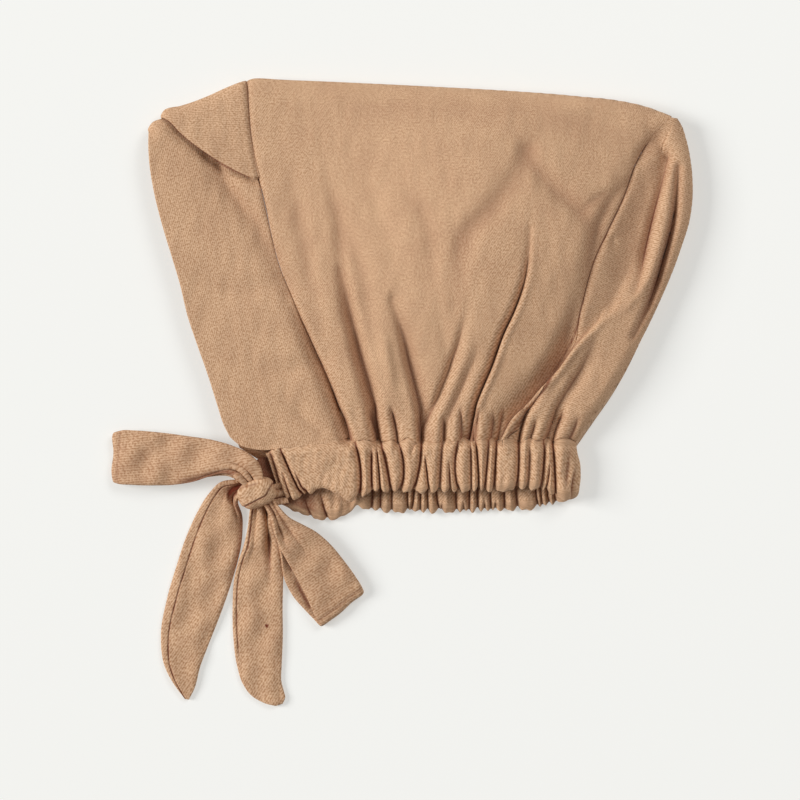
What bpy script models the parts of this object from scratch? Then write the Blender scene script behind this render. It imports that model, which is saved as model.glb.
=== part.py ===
"""Tie-back underscarf cap in jersey, lying on its side as it is put down.

The plan view is the X, Y plane, the face opening is towards -X, the nape towards -Y,
and the surface that the cap lies on is Z = 0. Lengths here are in millimetres.
The upper half of the cap is called near, and the half against the surface far.
"""

import math

import bmesh
import bpy
import numpy as np

MM = 0.001

# Driving sizes
CLOTH = 1.2  # crown and back panel, one layer
DOUBLE_CLOTH = 2.0  # front bands and ties, folded double
HALF_SEAM = 0.35  # half the gap between two pieces sewn edge to edge
FAR_HALF_SEAM = 0.6  # the crown's share of it in the lower half
LAYER_GAP = 0.5  # between pieces that lie on each other
CROSSING_GAP = 0.9  # between the two front bands where they cross
CAP_LOFT = 20.0  # how far the crown stands above the front bands
BAND_HEIGHT = 11.0  # upper layer at the face opening
LOFT_CENTRE = (45.0, 75.0)
LOFT_REACH = (75.0, 80.0)
CREST_HEIGHT = 8.0  # where the cloth turns over the outline of the crown
NEAR_ROUND = 16.0  # width of the turned edge, upper half
FAR_ROUND = 9.0  # width of the turned edge, lower half
BAND_COLUMNS = 9
FAR_ROWS = 12
BACK_PANEL_TOP = 0.985  # share of the back seam's length where the panel's tip is cut off
FLAP_TIP = 0.97  # share of the crossing flap's length where its tip is cut off
CASING_THICK = 2.6
KNOT_CENTRE = (-80.4, -55.0, 11.0)
KNOT_SIZE = (21.0, 16.0, 15.0)
KNOT_TURN = math.radians(22.0)
KNOT_GROOVE = 1.1  # between the two turns of the tie round the knot

# Plan curves: x, y
FRONT_EDGE = (
    (-95.4, -24.2),
    (-98.7, -17.6),
    (-102.3, -6.6),
    (-107.5, 9.9),
    (-113.3, 26.4),
    (-118.8, 42.9),
    (-122.7, 59.4),
    (-127.6, 75.9),
    (-132.6, 92.4),
    (-137.0, 110.0),
    (-139.2, 122.7),
    (-140.1, 133.7),
    (-140.2, 144.1),
)
FRONT_SEAM = (
    (-31.6, -22.5),
    (-42.1, 9.9),
    (-58.6, 47.3),
    (-67.9, 69.3),
    (-75.1, 99.0),
    (-83.6, 139.2),
    (-86.4, 171.0),
)
BACK_SEAM = (
    (58.0, -23.3),
    (74.0, -2.0),
    (87.5, 19.3),
    (93.5, 31.0),
    (97.5, 48.0),
    (103.0, 68.5),
    (113.6, 92.4),
    (121.0, 108.0),
    (127.5, 126.0),
    (136.7, 141.5),
    (144.9, 151.5),
)
TOP_EDGE = (
    (-86.4, 171.4),
    (-40.4, 171.1),
    (14.6, 168.3),
    (64.1, 165.3),
    (86.1, 163.6),
    (99.8, 162.2),
    (110.8, 161.2),
    (121.8, 159.5),
    (132.8, 156.8),
    (141.1, 153.5),
    (144.9, 151.5),
)
BACK_EDGE = (
    (94.9, -24.8),
    (104.8, -11.6),
    (114.7, 1.7),
    (122.9, 14.9),
    (129.5, 28.1),
    (136.1, 41.2),
    (142.2, 54.5),
    (147.7, 67.7),
    (152.4, 80.9),
    (156.5, 94.1),
    (158.3, 107.3),
    (158.3, 117.2),
    (157.2, 128.2),
    (154.6, 139.2),
    (151.5, 146.3),
    (148.2, 150.2),
)
OVERLAP_TOP = ((-131.5, 154.4), (-122.4, 157.2), (-108.4, 162.1), (-95.7, 167.8), (-86.9, 171.2))
OVERLAP_EDGE = (
    (-131.5, 154.4),
    (-123.8, 146.7),
    (-110.5, 134.8),
    (-102.7, 129.8),
    (-90.8, 122.1),
    (-80.6, 117.6),
)
UNDERLAP_TOP = (
    (-140.2, 144.1),
    (-138.1, 147.7),
    (-129.0, 150.9),
    (-108.0, 158.6),
    (-88.0, 166.4),
)
NEAR_HEM = (
    (-95.4, -24.2),
    (-91.6, -27.6),
    (-78.0, -31.2),
    (-66.0, -29.3),
    (-46.0, -26.2),
    (-31.6, -22.5),
)
FAR_HEM = ((-92.0, -30.0), (-76.0, -38.0), (-52.0, -37.0), (-31.6, -35.0))
NEAR_NAPE = ((-31.6, -22.5), (0.0, -23.6), (50.0, -22.8), (94.0, -24.0))
FAR_NAPE = ((-31.6, -35.0), (0.0, -34.4), (50.0, -34.0), (94.0, -31.0))

# Valleys in the upper half. Each runs from its foot to its head, bowed sideways by bow;
# foot and head give the share of depth at each end, and a width is one side's
# name, foot x, foot y, head x, head y, bow, depth, width, at_foot, at_head
VALLEYS = (
    ("front_seam_valley", -34.0, -20.0, -100.0, 126.0, 4.0, 3.4, 8.0, 1.0, 0.3),
    ("front_soft_valley", -36.0, 18.0, -64.0, 132.0, 3.0, 1.6, 5.0, 0.2, 0.3),
    ("front_deep_valley", -12.0, -25.0, -40.0, 82.0, 5.0, 7.0, 6.0, 1.0, 0.1),
    ("front_side_valley", -14.0, 30.0, -38.0, 108.0, 3.0, 1.8, 5.0, 0.2, 0.1),
    ("middle_valley", 11.0, -24.0, -6.0, 52.0, 4.0, 6.0, 5.5, 1.0, 0.1),
    ("middle_ridge_valley", 20.0, -23.0, 38.0, 44.0, -2.0, 3.4, 5.0, 1.0, 0.1),
    ("crown_arch_front", 22.0, 36.0, 66.0, 136.0, -11.0, 3.6, 8.0, 0.4, 0.5),
    ("crown_arch_back", 98.0, 96.0, 67.0, 136.0, 0.0, 2.6, 7.0, 0.2, 0.5),
    ("long_crease", 32.0, -26.0, 69.0, 84.0, -5.0, 7.5, 5.0, 1.0, 0.1),
    ("hollow_by_seam", 49.0, -23.0, 96.0, 54.0, -3.0, 7.5, 8.0, 1.0, 0.2),
    ("back_low_valley", 77.5, -24.0, 104.0, 32.0, -3.0, 5.0, 6.0, 1.0, 0.1),
    ("back_long_crease", 102.0, 26.0, 142.0, 124.0, -13.0, 4.5, 6.0, 0.2, 0.4),
    ("back_edge_crease", 128.0, 30.0, 151.0, 118.0, -5.0, 5.0, 4.5, 0.1, 0.4),
    ("back_corner_valley", 100.0, 104.0, 122.0, 122.0, 0.0, 2.4, 7.0, 0.3, 0.3),
)
GATHER_PITCH = 12.0  # of the small gathers where the crown meets the casing
GATHER_DEPTH = 1.4
GATHER_REACH = 17.0
GATHER_LINE = -23.5  # y of the gathered edge of the upper half

# The gathered casing, from its near left end round the right end to its far left end:
# top x, top y, bottom x, bottom y, z
CASING_ROWS = (
    (-75.5, -32.6, -65.0, -58.2, 10.6),
    (-66.0, -30.4, -57.5, -58.8, 11.0),
    (-46.0, -27.3, -43.0, -52.4, 12.0),
    (-32.0, -23.6, -30.5, -58.9, 13.0),
    (-16.0, -25.0, -18.0, -55.2, 13.8),
    (10.0, -24.6, 8.0, -54.6, 14.4),
    (45.0, -23.8, 45.0, -54.4, 14.4),
    (78.0, -24.8, 78.0, -54.4, 13.8),
    (90.5, -26.0, 91.0, -58.4, 12.2),
    (95.4, -28.0, 96.6, -59.6, 8.4),
    (90.5, -31.6, 88.0, -60.4, 4.4),
    (78.0, -33.0, 78.0, -62.8, 3.0),
    (45.0, -35.0, 45.0, -65.6, 2.8),
    (8.0, -35.4, 8.0, -66.0, 2.8),
    (-20.0, -35.8, -20.0, -65.8, 2.8),
    (-36.0, -36.2, -35.0, -69.4, 2.8),
    (-52.0, -38.0, -50.0, -68.6, 2.9),
    (-66.0, -41.0, -61.0, -63.0, 3.6),
)
PLEATS_FROM = 0.16  # share of the casing's length where the gathers start
PLEATS_TO = 0.86
PLEAT_COUNT = 34
PLEAT_DEPTH = 2.6
SCALLOP_DEPTH = 1.2

# Ties. Each row is one section: the two edges in plan, the height, and the height of the
# gathers: first x, first y, second x, second y, z, gather
LEFT_LOOP_ROWS = (
    (-77.3, -51.2, -85.5, -52.3, 13.6, 0.2),
    (-77.0, -44.6, -90.5, -48.4, 15.2, 0.8),
    (-79.5, -38.0, -94.9, -44.6, 15.2, 1.0),
    (-85.0, -33.0, -100.1, -44.0, 14.4, 0.8),
    (-93.8, -28.9, -107.0, -45.7, 12.8, 0.4),
    (-104.2, -25.9, -114.7, -48.4, 10.8, 0.2),
    (-118.5, -23.7, -124.6, -50.3, 9.0, 0.0),
    (-133.9, -21.7, -137.8, -50.9, 7.4, 0.0),
    (-147.7, -20.6, -149.9, -50.6, 6.2, 0.0),
    (-155.4, -20.6, -157.0, -50.1, 5.0, 0.0),
    (-158.4, -21.5, -159.0, -49.5, 3.2, 0.0),
    (-155.4, -22.0, -156.5, -49.8, 1.6, 0.0),
    (-139.4, -23.7, -141.6, -50.6, 1.4, 0.0),
    (-121.8, -26.4, -122.9, -50.1, 2.8, 0.0),
    (-105.3, -30.8, -107.0, -46.2, 6.4, 0.3),
    (-92.1, -36.3, -96.5, -45.7, 9.8, 0.4),
    (-82.2, -46.8, -88.3, -50.1, 11.0, 0.2),
)
RIGHT_LOOP_ROWS = (
    (-74.5, -54.5, -78.4, -59.4, 13.0, 0.3),
    (-68.5, -62.7, -73.4, -66.0, 13.0, 0.7),
    (-62.4, -68.5, -71.2, -75.9, 11.4, 0.9),
    (-55.3, -72.3, -68.2, -84.7, 9.4, 0.6),
    (-47.6, -76.7, -64.1, -92.4, 7.8, 0.1),
    (-39.9, -83.6, -59.4, -100.7, 6.6, 0.0),
    (-32.2, -93.0, -54.2, -110.6, 5.9, 0.0),
    (-26.1, -101.5, -49.8, -120.5, 5.4, 0.0),
    (-23.1, -106.4, -47.6, -125.4, 4.6, 0.0),
    (-22.3, -108.4, -46.2, -128.2, 3.1, 0.0),
    (-23.4, -106.7, -48.4, -126.0, 1.6, 0.0),
    (-30.0, -99.0, -54.2, -119.9, 1.4, 0.0),
    (-40.4, -86.4, -61.6, -111.1, 1.4, 0.0),
    (-50.9, -77.6, -66.3, -100.7, 2.4, 0.0),
    (-59.1, -72.1, -67.7, -89.7, 4.8, 0.1),
    (-65.2, -66.6, -69.9, -77.0, 8.0, 0.3),
    (-74.5, -57.2, -77.8, -59.4, 9.8, 0.2),
)
LEFT_TAIL_ROWS = (
    (-86.1, -49.0, -85.0, -54.5, 7.0, 0.3),
    (-92.7, -47.9, -90.5, -57.2, 6.0, 0.7),
    (-99.8, -48.4, -93.2, -60.5, 4.6, 0.6),
    (-107.5, -55.0, -91.6, -67.1, 2.8, 0.2),
    (-115.2, -66.6, -90.2, -75.9, 1.6, 0.0),
    (-120.2, -78.1, -91.6, -85.2, 1.3, 0.0),
    (-125.1, -94.6, -96.0, -102.9, 1.3, 0.0),
    (-129.0, -113.9, -100.9, -120.5, 1.3, 0.0),
    (-132.6, -134.8, -108.1, -140.2, 1.3, 0.0),
    (-131.7, -149.6, -112.2, -151.8, 1.3, 0.0),
    (-127.3, -161.2, -115.0, -162.2, 1.3, 0.0),
    (-121.8, -168.6, -116.9, -168.9, 1.3, 0.0),
)
RIGHT_TAIL_ROWS = (
    (-83.3, -57.2, -74.5, -57.2, 6.4, 0.6),
    (-84.7, -64.9, -72.3, -64.9, 5.4, 1.1),
    (-85.5, -73.7, -72.6, -73.7, 4.2, 1.2),
    (-88.0, -83.6, -71.5, -83.6, 2.9, 0.9),
    (-91.3, -93.5, -69.9, -93.5, 1.9, 0.4),
    (-93.5, -103.4, -68.5, -103.4, 1.4, 0.1),
    (-94.3, -117.2, -67.1, -117.2, 1.3, 0.0),
    (-93.8, -135.9, -66.8, -135.9, 1.3, 0.0),
    (-91.9, -150.2, -67.1, -150.2, 1.3, 0.0),
    (-88.6, -160.6, -66.8, -160.6, 1.3, 0.0),
    (-83.3, -167.5, -66.3, -167.5, 1.3, 0.0),
    (-75.6, -171.3, -65.5, -171.1, 1.3, 0.0),
    (-68.5, -172.7, -65.2, -172.4, 1.3, 0.0),
)
NEAR_ROOT_ROWS = (
    (-76.7, -33.6, -66.3, -58.3, 10.8, 0.4),
    (-78.4, -39.1, -70.7, -56.1, 10.4, 0.7),
    (-81.1, -46.8, -77.3, -55.0, 10.0, 0.3),
)
FAR_ROOT_ROWS = (
    (-67.4, -42.9, -63.0, -62.7, 4.0, 0.3),
    (-74.5, -46.8, -71.2, -58.3, 5.8, 0.4),
    (-81.1, -50.1, -77.8, -56.1, 7.6, 0.2),
)

CAMEL = (0.588, 0.366, 0.228, 1.0)
CLOTH_ROUGHNESS = 0.85


def smooth(rows, at, lead=2):
    """Values on one smooth curve through the rows, at shares of the length of its first columns."""
    rows = np.array(rows, float)
    steps = np.linalg.norm(np.diff(rows[:, :lead], axis=0), axis=1)
    knots = np.concatenate([[0.0], np.cumsum(steps)]) / steps.sum()
    slopes = np.gradient(rows, knots, axis=0)
    at = np.clip(np.asarray(at, float), 0.0, 1.0)
    k = np.clip(np.searchsorted(knots, at, side="right") - 1, 0, len(knots) - 2)
    span = (knots[k + 1] - knots[k])[:, None]
    t = ((at - knots[k])[:, None]) / span
    return (
        rows[k] * (1 + 2 * t) * (1 - t) ** 2
        + slopes[k] * span * t * (1 - t) ** 2
        + rows[k + 1] * t**2 * (3 - 2 * t)
        + slopes[k + 1] * span * t**2 * (t - 1)
    )


def beside(curve, distance):
    """A plan curve moved to its left by a distance."""
    line = smooth(curve, np.linspace(0, 1, 40))
    along = np.gradient(line, axis=0)
    along /= np.linalg.norm(along, axis=1)[:, None]
    return line + distance * np.stack([-along[:, 1], along[:, 0]], axis=1)


def coons(bottom, top, left, right, u, v):
    """The patch between four plan curves, at each v for each u."""
    low, high = smooth(bottom, u)[None], smooth(top, u)[None]
    start, end = smooth(left, v)[:, None], smooth(right, v)[:, None]
    u, v = u[None, :, None], v[:, None, None]
    corners = (
        (1 - u) * (1 - v) * low[:, :1]
        + u * (1 - v) * low[:, -1:]
        + (1 - u) * v * high[:, :1]
        + u * v * high[:, -1:]
    )
    return (1 - v) * low + v * high + (1 - u) * start + u * end - corners


def distance_to(curve, x, y, samples=160):
    """How far each plan point is from a plan curve."""
    line = smooth(curve, np.linspace(0, 1, samples))
    away = np.hypot(x[..., None] - line[:, 0], y[..., None] - line[:, 1])
    return away.min(axis=-1)


def turned(distance, width):
    """0 on the outline and 1 inside it, along a quarter circle."""
    inside = np.clip(1 - distance / width, 0.0, 1.0)
    return np.sqrt(1 - inside**2)


def valley_depth(x, y):
    """How far the folds sink the upper half at each plan point."""
    total = np.zeros_like(x)
    shares = np.linspace(0, 1, 24)
    for _, foot_x, foot_y, head_x, head_y, bow, depth, width, at_foot, at_head in VALLEYS:
        length = math.hypot(head_x - foot_x, head_y - foot_y)
        side_x, side_y = -(head_y - foot_y) / length, (head_x - foot_x) / length
        bulge = 4 * bow * shares * (1 - shares)
        line_x = foot_x + shares * (head_x - foot_x) + bulge * side_x
        line_y = foot_y + shares * (head_y - foot_y) + bulge * side_y
        away = np.hypot(x[..., None] - line_x, y[..., None] - line_y)
        nearest = shares[away.argmin(axis=-1)]
        along = at_foot + (at_head - at_foot) * nearest
        along = along + 4 * (1 - 0.5 * (at_foot + at_head)) * nearest * (1 - nearest)
        total += depth * along * np.exp(-((away.min(axis=-1) / width) ** 2))
    wave = 0.5 - 0.5 * np.cos(2 * math.pi * x / GATHER_PITCH)
    fade = np.exp(-(((y - GATHER_LINE) / GATHER_REACH) ** 2))
    return total + GATHER_DEPTH * wave * fade * np.clip((x + 45.0) / 15.0, 0.0, 1.0)


def crest_height(x):
    """Height of the turned outline, lower towards the face opening."""
    return CREST_HEIGHT - 2.0 * np.clip((-60.0 - x) / 80.0, 0.0, 1.0)


def open_height(x, y):
    """Height of the upper half before its outline is turned over."""
    across = ((x - LOFT_CENTRE[0]) / LOFT_REACH[0]) ** 2
    along = ((y - LOFT_CENTRE[1]) / LOFT_REACH[1]) ** 2
    return BAND_HEIGHT + CAP_LOFT * np.exp(-across - along) - valley_depth(x, y)


def near_height(x, y, away, width=NEAR_ROUND, drop=0.0):
    """Height of the upper half, away being the distance from the turned outline."""
    crest = crest_height(x)
    return crest + (open_height(x, y) - drop - crest) * turned(away, width)


def far_height(x, away, floor, width=FAR_ROUND):
    """Height of the lower half, whose middle layer lies at floor."""
    crest = crest_height(x)
    return crest + (floor - crest) * turned(away, width)


def crowded(count, power=2.0):
    """Shares from 0 to 1 that lie closer together towards 1."""
    return 1 - np.linspace(1, 0, count) ** power


def material(name, colour):
    """A plain cloth finish."""
    finish = bpy.data.materials.new(name)
    finish.use_nodes = True
    shader = finish.node_tree.nodes["Principled BSDF"]
    shader.inputs["Base Color"].default_value = colour
    shader.inputs["Roughness"].default_value = CLOTH_ROUGHNESS
    shader.inputs["Metallic"].default_value = 0.0
    return finish


def add_object(name, mesh, colour=CAMEL):
    """Places a mesh in the scene under its node name, with its own cloth finish."""
    mesh.transform(((MM, 0, 0, 0), (0, MM, 0, 0), (0, 0, MM, 0), (0, 0, 0, 1)))
    mesh.materials.append(material(name + "_cloth", colour))
    mesh.shade_smooth()
    piece = bpy.data.objects.new(name, mesh)
    bpy.context.collection.objects.link(piece)
    return piece


def cloth_wall(name, points, thick):
    """A wall of even thickness whose middle is a grid of points, rows by columns."""
    rows, columns = points.shape[:2]
    mesh = bpy.data.meshes.new(name)
    faces = [
        (r * columns + c, r * columns + c + 1, (r + 1) * columns + c + 1, (r + 1) * columns + c)
        for r in range(rows - 1)
        for c in range(columns - 1)
    ]
    mesh.from_pydata(points.reshape(-1, 3).tolist(), [], faces)
    piece = add_object(name, mesh)
    wall = piece.modifiers.new("wall", "SOLIDIFY")
    wall.thickness = thick * MM
    wall.offset = 0.0
    wall.use_rim = True
    return piece


def closed_sections(name, points):
    """A solid lofted through closed sections, with its two ends capped."""
    sections, corners = points.shape[:2]
    built = bmesh.new()
    rings = [[built.verts.new(p) for p in section] for section in points.tolist()]
    for first, second in zip(rings, rings[1:]):
        for c in range(corners):
            d = (c + 1) % corners
            built.faces.new((first[c], first[d], second[d], second[c]))
    built.faces.new(rings[0][::-1])
    built.faces.new(rings[-1])
    bmesh.ops.recalc_face_normals(built, faces=built.faces)
    bmesh.ops.triangulate(built, faces=[f for f in built.faces if len(f.verts) > 4])
    mesh = bpy.data.meshes.new(name)
    built.to_mesh(mesh)
    built.free()
    return add_object(name, mesh)


def with_height(plan, height):
    """Plan points with their heights, as points in space."""
    return np.concatenate([plan, height[..., None]], axis=-1)


def crown_panel():
    """One panel over the head from ear to ear, turned over at the top edge."""
    u = np.linspace(0, 1, 31)
    near_v, far_v = crowded(17), crowded(FAR_ROWS)
    near_front, near_back = beside(FRONT_SEAM, -HALF_SEAM), beside(BACK_SEAM, HALF_SEAM)
    far_front, far_back = beside(FRONT_SEAM_FAR, -FAR_HALF_SEAM), beside(BACK_SEAM_FAR, FAR_HALF_SEAM)
    near = coons(NEAR_NAPE_CROWN, TOP_EDGE, near_front, near_back, u, near_v)
    far = coons(FAR_NAPE_CROWN, TOP_EDGE, far_front, far_back, u, far_v)
    near_away = distance_to(OUTLINE, near[..., 0], near[..., 1])
    far_away = distance_to(OUTLINE, far[..., 0], far[..., 1])
    upper = with_height(near, near_height(near[..., 0], near[..., 1], near_away))
    lower = with_height(far, far_height(far[..., 0], far_away, CLOTH / 2))
    return cloth_wall("crown_panel", np.concatenate([upper, lower[-2::-1]]), CLOTH)


def back_panel():
    """The tongue-shaped panel at the back of the head, turned over at the back edge."""
    u, v = crowded(8), BACK_PANEL_TOP * np.linspace(0, 1, 20)
    near_seam, far_seam = beside(BACK_SEAM, -HALF_SEAM), beside(BACK_SEAM_FAR, -HALF_SEAM)
    near = coons(NEAR_NAPE_BACK, TOP_STITCH, near_seam, BACK_EDGE, u, v)
    far = coons(FAR_NAPE_BACK, TOP_STITCH, far_seam, BACK_EDGE_FAR, u, v)
    near_away = distance_to(OUTLINE, near[..., 0], near[..., 1])
    far_away = distance_to(OUTLINE, far[..., 0], far[..., 1])
    upper = with_height(near, near_height(near[..., 0], near[..., 1], near_away))
    lower = with_height(far, far_height(far[..., 0], far_away, CLOTH / 2))
    return cloth_wall("back_panel", np.concatenate([upper, lower[:, -2::-1]], axis=1), CLOTH)


def front_band_near():
    """The upper side's band, whose top end is tucked under the other side's band."""
    u, near_v = np.linspace(0, 1, BAND_COLUMNS), crowded(18)
    seam = beside(FRONT_SEAM_UNDERLAP, HALF_SEAM)
    near = coons(NEAR_HEM, UNDERLAP_TOP, FRONT_EDGE, seam, u, near_v)
    x, y = near[..., 0], near[..., 1]
    from_overlap = distance_to(OVERLAP_EDGE, x, y)
    covered = y > np.interp(x, *overlap_line())
    reach = np.where(covered, 0.0, from_overlap)
    drop = (DOUBLE_CLOTH + CROSSING_GAP) * np.clip(1.2 - reach / 12.0, 0.0, 1.0)
    upper = with_height(near, near_height(x, y, distance_to(UNDERLAP_TOP, x, y), 9.0, drop))
    tuck = near[-5:-1][::-1]
    floor = DOUBLE_CLOTH * 1.5 + CROSSING_GAP
    tuck_away = distance_to(UNDERLAP_TOP, tuck[..., 0], tuck[..., 1])
    lower = with_height(tuck, far_height(tuck[..., 0], tuck_away, floor, 6.0))
    return cloth_wall("front_band_near", np.concatenate([upper, lower]), DOUBLE_CLOTH)


def front_band_far():
    """The lower side's band, which turns over the top and crosses over the upper one."""
    u, far_v = np.linspace(0, 1, BAND_COLUMNS), crowded(FAR_ROWS)
    flap_v = FLAP_TIP * (1 - crowded(9, 1.6)[::-1])
    seam, flap_seam = beside(FRONT_SEAM_FAR, HALF_SEAM), beside(FLAP_SEAM, -HALF_SEAM)
    far = coons(FAR_HEM, OVERLAP_TOP, FAR_FRONT_EDGE, seam, u, far_v)
    flap = coons(OVERLAP_TOP, OVERLAP_TIP, OVERLAP_EDGE, flap_seam, u, flap_v)
    away = distance_to(OVERLAP_TOP, far[..., 0], far[..., 1])
    lower = with_height(far, far_height(far[..., 0], away, DOUBLE_CLOTH / 2))
    x, y = flap[..., 0], flap[..., 1]
    upper = with_height(flap, near_height(x, y, distance_to(OVERLAP_TOP, x, y), 10.0))
    return cloth_wall("front_band_far", np.concatenate([lower, upper[1:]]), DOUBLE_CLOTH)


def nape_casing():
    """The gathered channel for the elastic, folded round its right end."""
    s = np.linspace(0, 1, 152)
    rows = smooth(CASING_ROWS, s, lead=5)
    gathered = np.clip(np.minimum(s - PLEATS_FROM, PLEATS_TO - s) / 0.03, 0.0, 1.0)
    wave = np.cos(2 * math.pi * PLEAT_COUNT * (s - PLEATS_FROM) / (PLEATS_TO - PLEATS_FROM))
    wave = np.where(gathered > 0, wave, 0.0) * gathered
    forward = np.gradient(rows[:, 0]), np.gradient(rows[:, 4])
    length = np.hypot(*forward)
    outward = np.stack([-forward[1] / length, np.zeros_like(s), forward[0] / length], axis=1)
    # Across the strip: share from the top edge to the bottom edge, and the side of the wall
    section = (
        (0.0, 0.2),
        (0.1, 1.0),
        (0.85, 1.0),
        (1.0, 0.1),
        (0.9, -1.0),
        (0.1, -1.0),
    )
    top = np.stack([rows[:, 0], rows[:, 1], rows[:, 4]], axis=1)
    bottom = np.stack([rows[:, 2], rows[:, 3], rows[:, 4]], axis=1)
    bottom[:, 1] += SCALLOP_DEPTH * 0.5 * (wave - 1) * np.sign(gathered)
    points = []
    for across, side in section:
        half = CASING_THICK / 2 + PLEAT_DEPTH * 0.5 * wave * min(1.0, 4 * across)
        points.append(top + across * (bottom - top) + (side * half)[:, None] * outward)
    return closed_sections("nape_casing", np.stack(points, axis=1))


def strap(name, rows, steps, columns=6):
    """A flat tie lofted along its rows, from its first edge to its second."""
    at = smooth(rows, np.linspace(0, 1, steps), lead=5)
    across = np.linspace(0, 1, columns)[None, :, None]
    first, second = at[:, None, (0, 1, 4)], at[:, None, (2, 3, 4)]
    points = first + across * (second - first)
    points[..., 2] += at[:, 5, None] * np.cos(across[..., 0] * 4 * math.pi)
    points[..., 2] = np.maximum(points[..., 2], DOUBLE_CLOTH / 2)
    return cloth_wall(name, points, DOUBLE_CLOTH)


def knot(name, clear=0.0):
    """The tie wound round itself: an oval with a groove between its turns."""
    built = bmesh.new()
    bmesh.ops.create_uvsphere(built, u_segments=20, v_segments=14, radius=1.0)
    cos, sin = math.cos(KNOT_TURN), math.sin(KNOT_TURN)
    for vert in built.verts:
        full = [math.copysign(abs(c) ** 0.8, c) for c in vert.co]
        x, y, z = (full[i] * (KNOT_SIZE[i] / 2 + clear) for i in range(3))
        sunk = KNOT_GROOVE * math.exp(-(((y + 2.2) / 1.5) ** 2)) if clear == 0.0 else 0.0
        z -= math.copysign(sunk, z) * min(1.0, abs(z) / 3.0)
        turned_x, turned_y = x * cos - y * sin, x * sin + y * cos
        vert.co = (turned_x + KNOT_CENTRE[0], turned_y + KNOT_CENTRE[1], z + KNOT_CENTRE[2])
    mesh = bpy.data.meshes.new(name)
    built.to_mesh(mesh)
    built.free()
    return add_object(name, mesh)


def keep_clear(piece, cutter):
    """Cuts a piece back from what it runs into."""
    cut = piece.modifiers.new("clearance", "BOOLEAN")
    cut.operation = "DIFFERENCE"
    cut.object = cutter


def bow():
    """The knot, two loops and two tails, with the two ends that come from the casing."""
    knot("tie_knot")
    clearance = knot("knot_clearance", LAYER_GAP)
    clearance.hide_render = True
    clearance.display_type = "WIRE"
    ties = (
        ("bow_loop_left", LEFT_LOOP_ROWS, 36),
        ("bow_loop_right", RIGHT_LOOP_ROWS, 34),
        ("tie_tail_left", LEFT_TAIL_ROWS, 24),
        ("tie_tail_right", RIGHT_TAIL_ROWS, 22),
        ("tie_root_near", NEAR_ROOT_ROWS, 6),
        ("tie_root_far", FAR_ROOT_ROWS, 6),
    )
    for name, rows, steps in ties:
        keep_clear(strap(name, rows, steps), clearance)


def overlap_line():
    """The crossing band's free edge, as x and y lists with x rising."""
    line = smooth(OVERLAP_EDGE, np.linspace(0, 1, 40))
    return line[:, 0], line[:, 1]


def split_curve(curve, cut_x, after):
    """The stretch of a plan curve on one side of an x, ending on it."""
    line = smooth(curve, np.linspace(0, 1, 60))
    kept = line[line[:, 0] > cut_x] if after else line[line[:, 0] < cut_x]
    end = np.array([[cut_x, np.interp(cut_x, line[:, 0], line[:, 1])]])
    return np.concatenate([end, kept]) if after else np.concatenate([kept, end])


def shifted(curve, shift_x, low_y, low_shift):
    """A plan curve moved sideways, and with its low end moved down to another hem."""
    moved = np.array(curve, float) + (shift_x, 0.0)
    fade = np.clip((40.0 - moved[:, 1]) / (40.0 - low_y), 0.0, 1.0)
    moved[:, 1] += low_shift * fade
    return moved


NAPE_SPLIT = BACK_SEAM[0][0]
HEM_LOW = -22.5
FAR_DROP = -12.0
OUTLINE = np.concatenate([OVERLAP_TOP[:-1], TOP_EDGE[:-1], BACK_EDGE[::-1]])
NEAR_NAPE_CROWN = split_curve(NEAR_NAPE, NAPE_SPLIT, after=False)
NEAR_NAPE_BACK = split_curve(NEAR_NAPE, NAPE_SPLIT + 2 * HALF_SEAM, after=True)
FAR_NAPE_CROWN = split_curve(FAR_NAPE, NAPE_SPLIT, after=False)
FAR_NAPE_BACK = split_curve(FAR_NAPE, NAPE_SPLIT + 2 * HALF_SEAM, after=True)
FRONT_SEAM_FAR = shifted(FRONT_SEAM, 0.0, HEM_LOW, FAR_DROP)
BACK_SEAM_FAR = shifted(BACK_SEAM, 0.0, HEM_LOW, FAR_DROP)
BACK_EDGE_FAR = shifted(BACK_EDGE, 0.0, HEM_LOW, 0.4 * FAR_DROP)
FRONT_SEAM_UNDERLAP = np.array(FRONT_SEAM[:-1] + (UNDERLAP_TOP[-1],))
FAR_FRONT_EDGE = np.concatenate([shifted(FRONT_EDGE[:-1], 5.0, HEM_LOW, -6.0), [OVERLAP_TOP[0]]])
TOP_STITCH = np.array([BACK_SEAM[-1], BACK_EDGE[-1]])
OVERLAP_TIP = np.array([OVERLAP_EDGE[-1], (-79.4, 117.0)])
FLAP_SEAM = np.array([OVERLAP_TOP[-1], (-84.4, 142.0), (-79.4, 117.0)])


def main():
    """Clears the scene and builds every piece of the cap."""
    for thing in list(bpy.data.objects):
        bpy.data.objects.remove(thing)
    crown_panel()
    back_panel()
    front_band_near()
    front_band_far()
    nape_casing()
    bow()


main()
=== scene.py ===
"""Looks of a tie-back underscarf cap in crepe jersey, lying on its side.

Lengths in this file are millimetres until a mesh is made, and plan points are X, Y of the
frame. The upper half of the cap is called near, and the half against the floor far.
"""

from __future__ import annotations

import logging
import math
from dataclasses import dataclass, field
from enum import Enum

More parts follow.
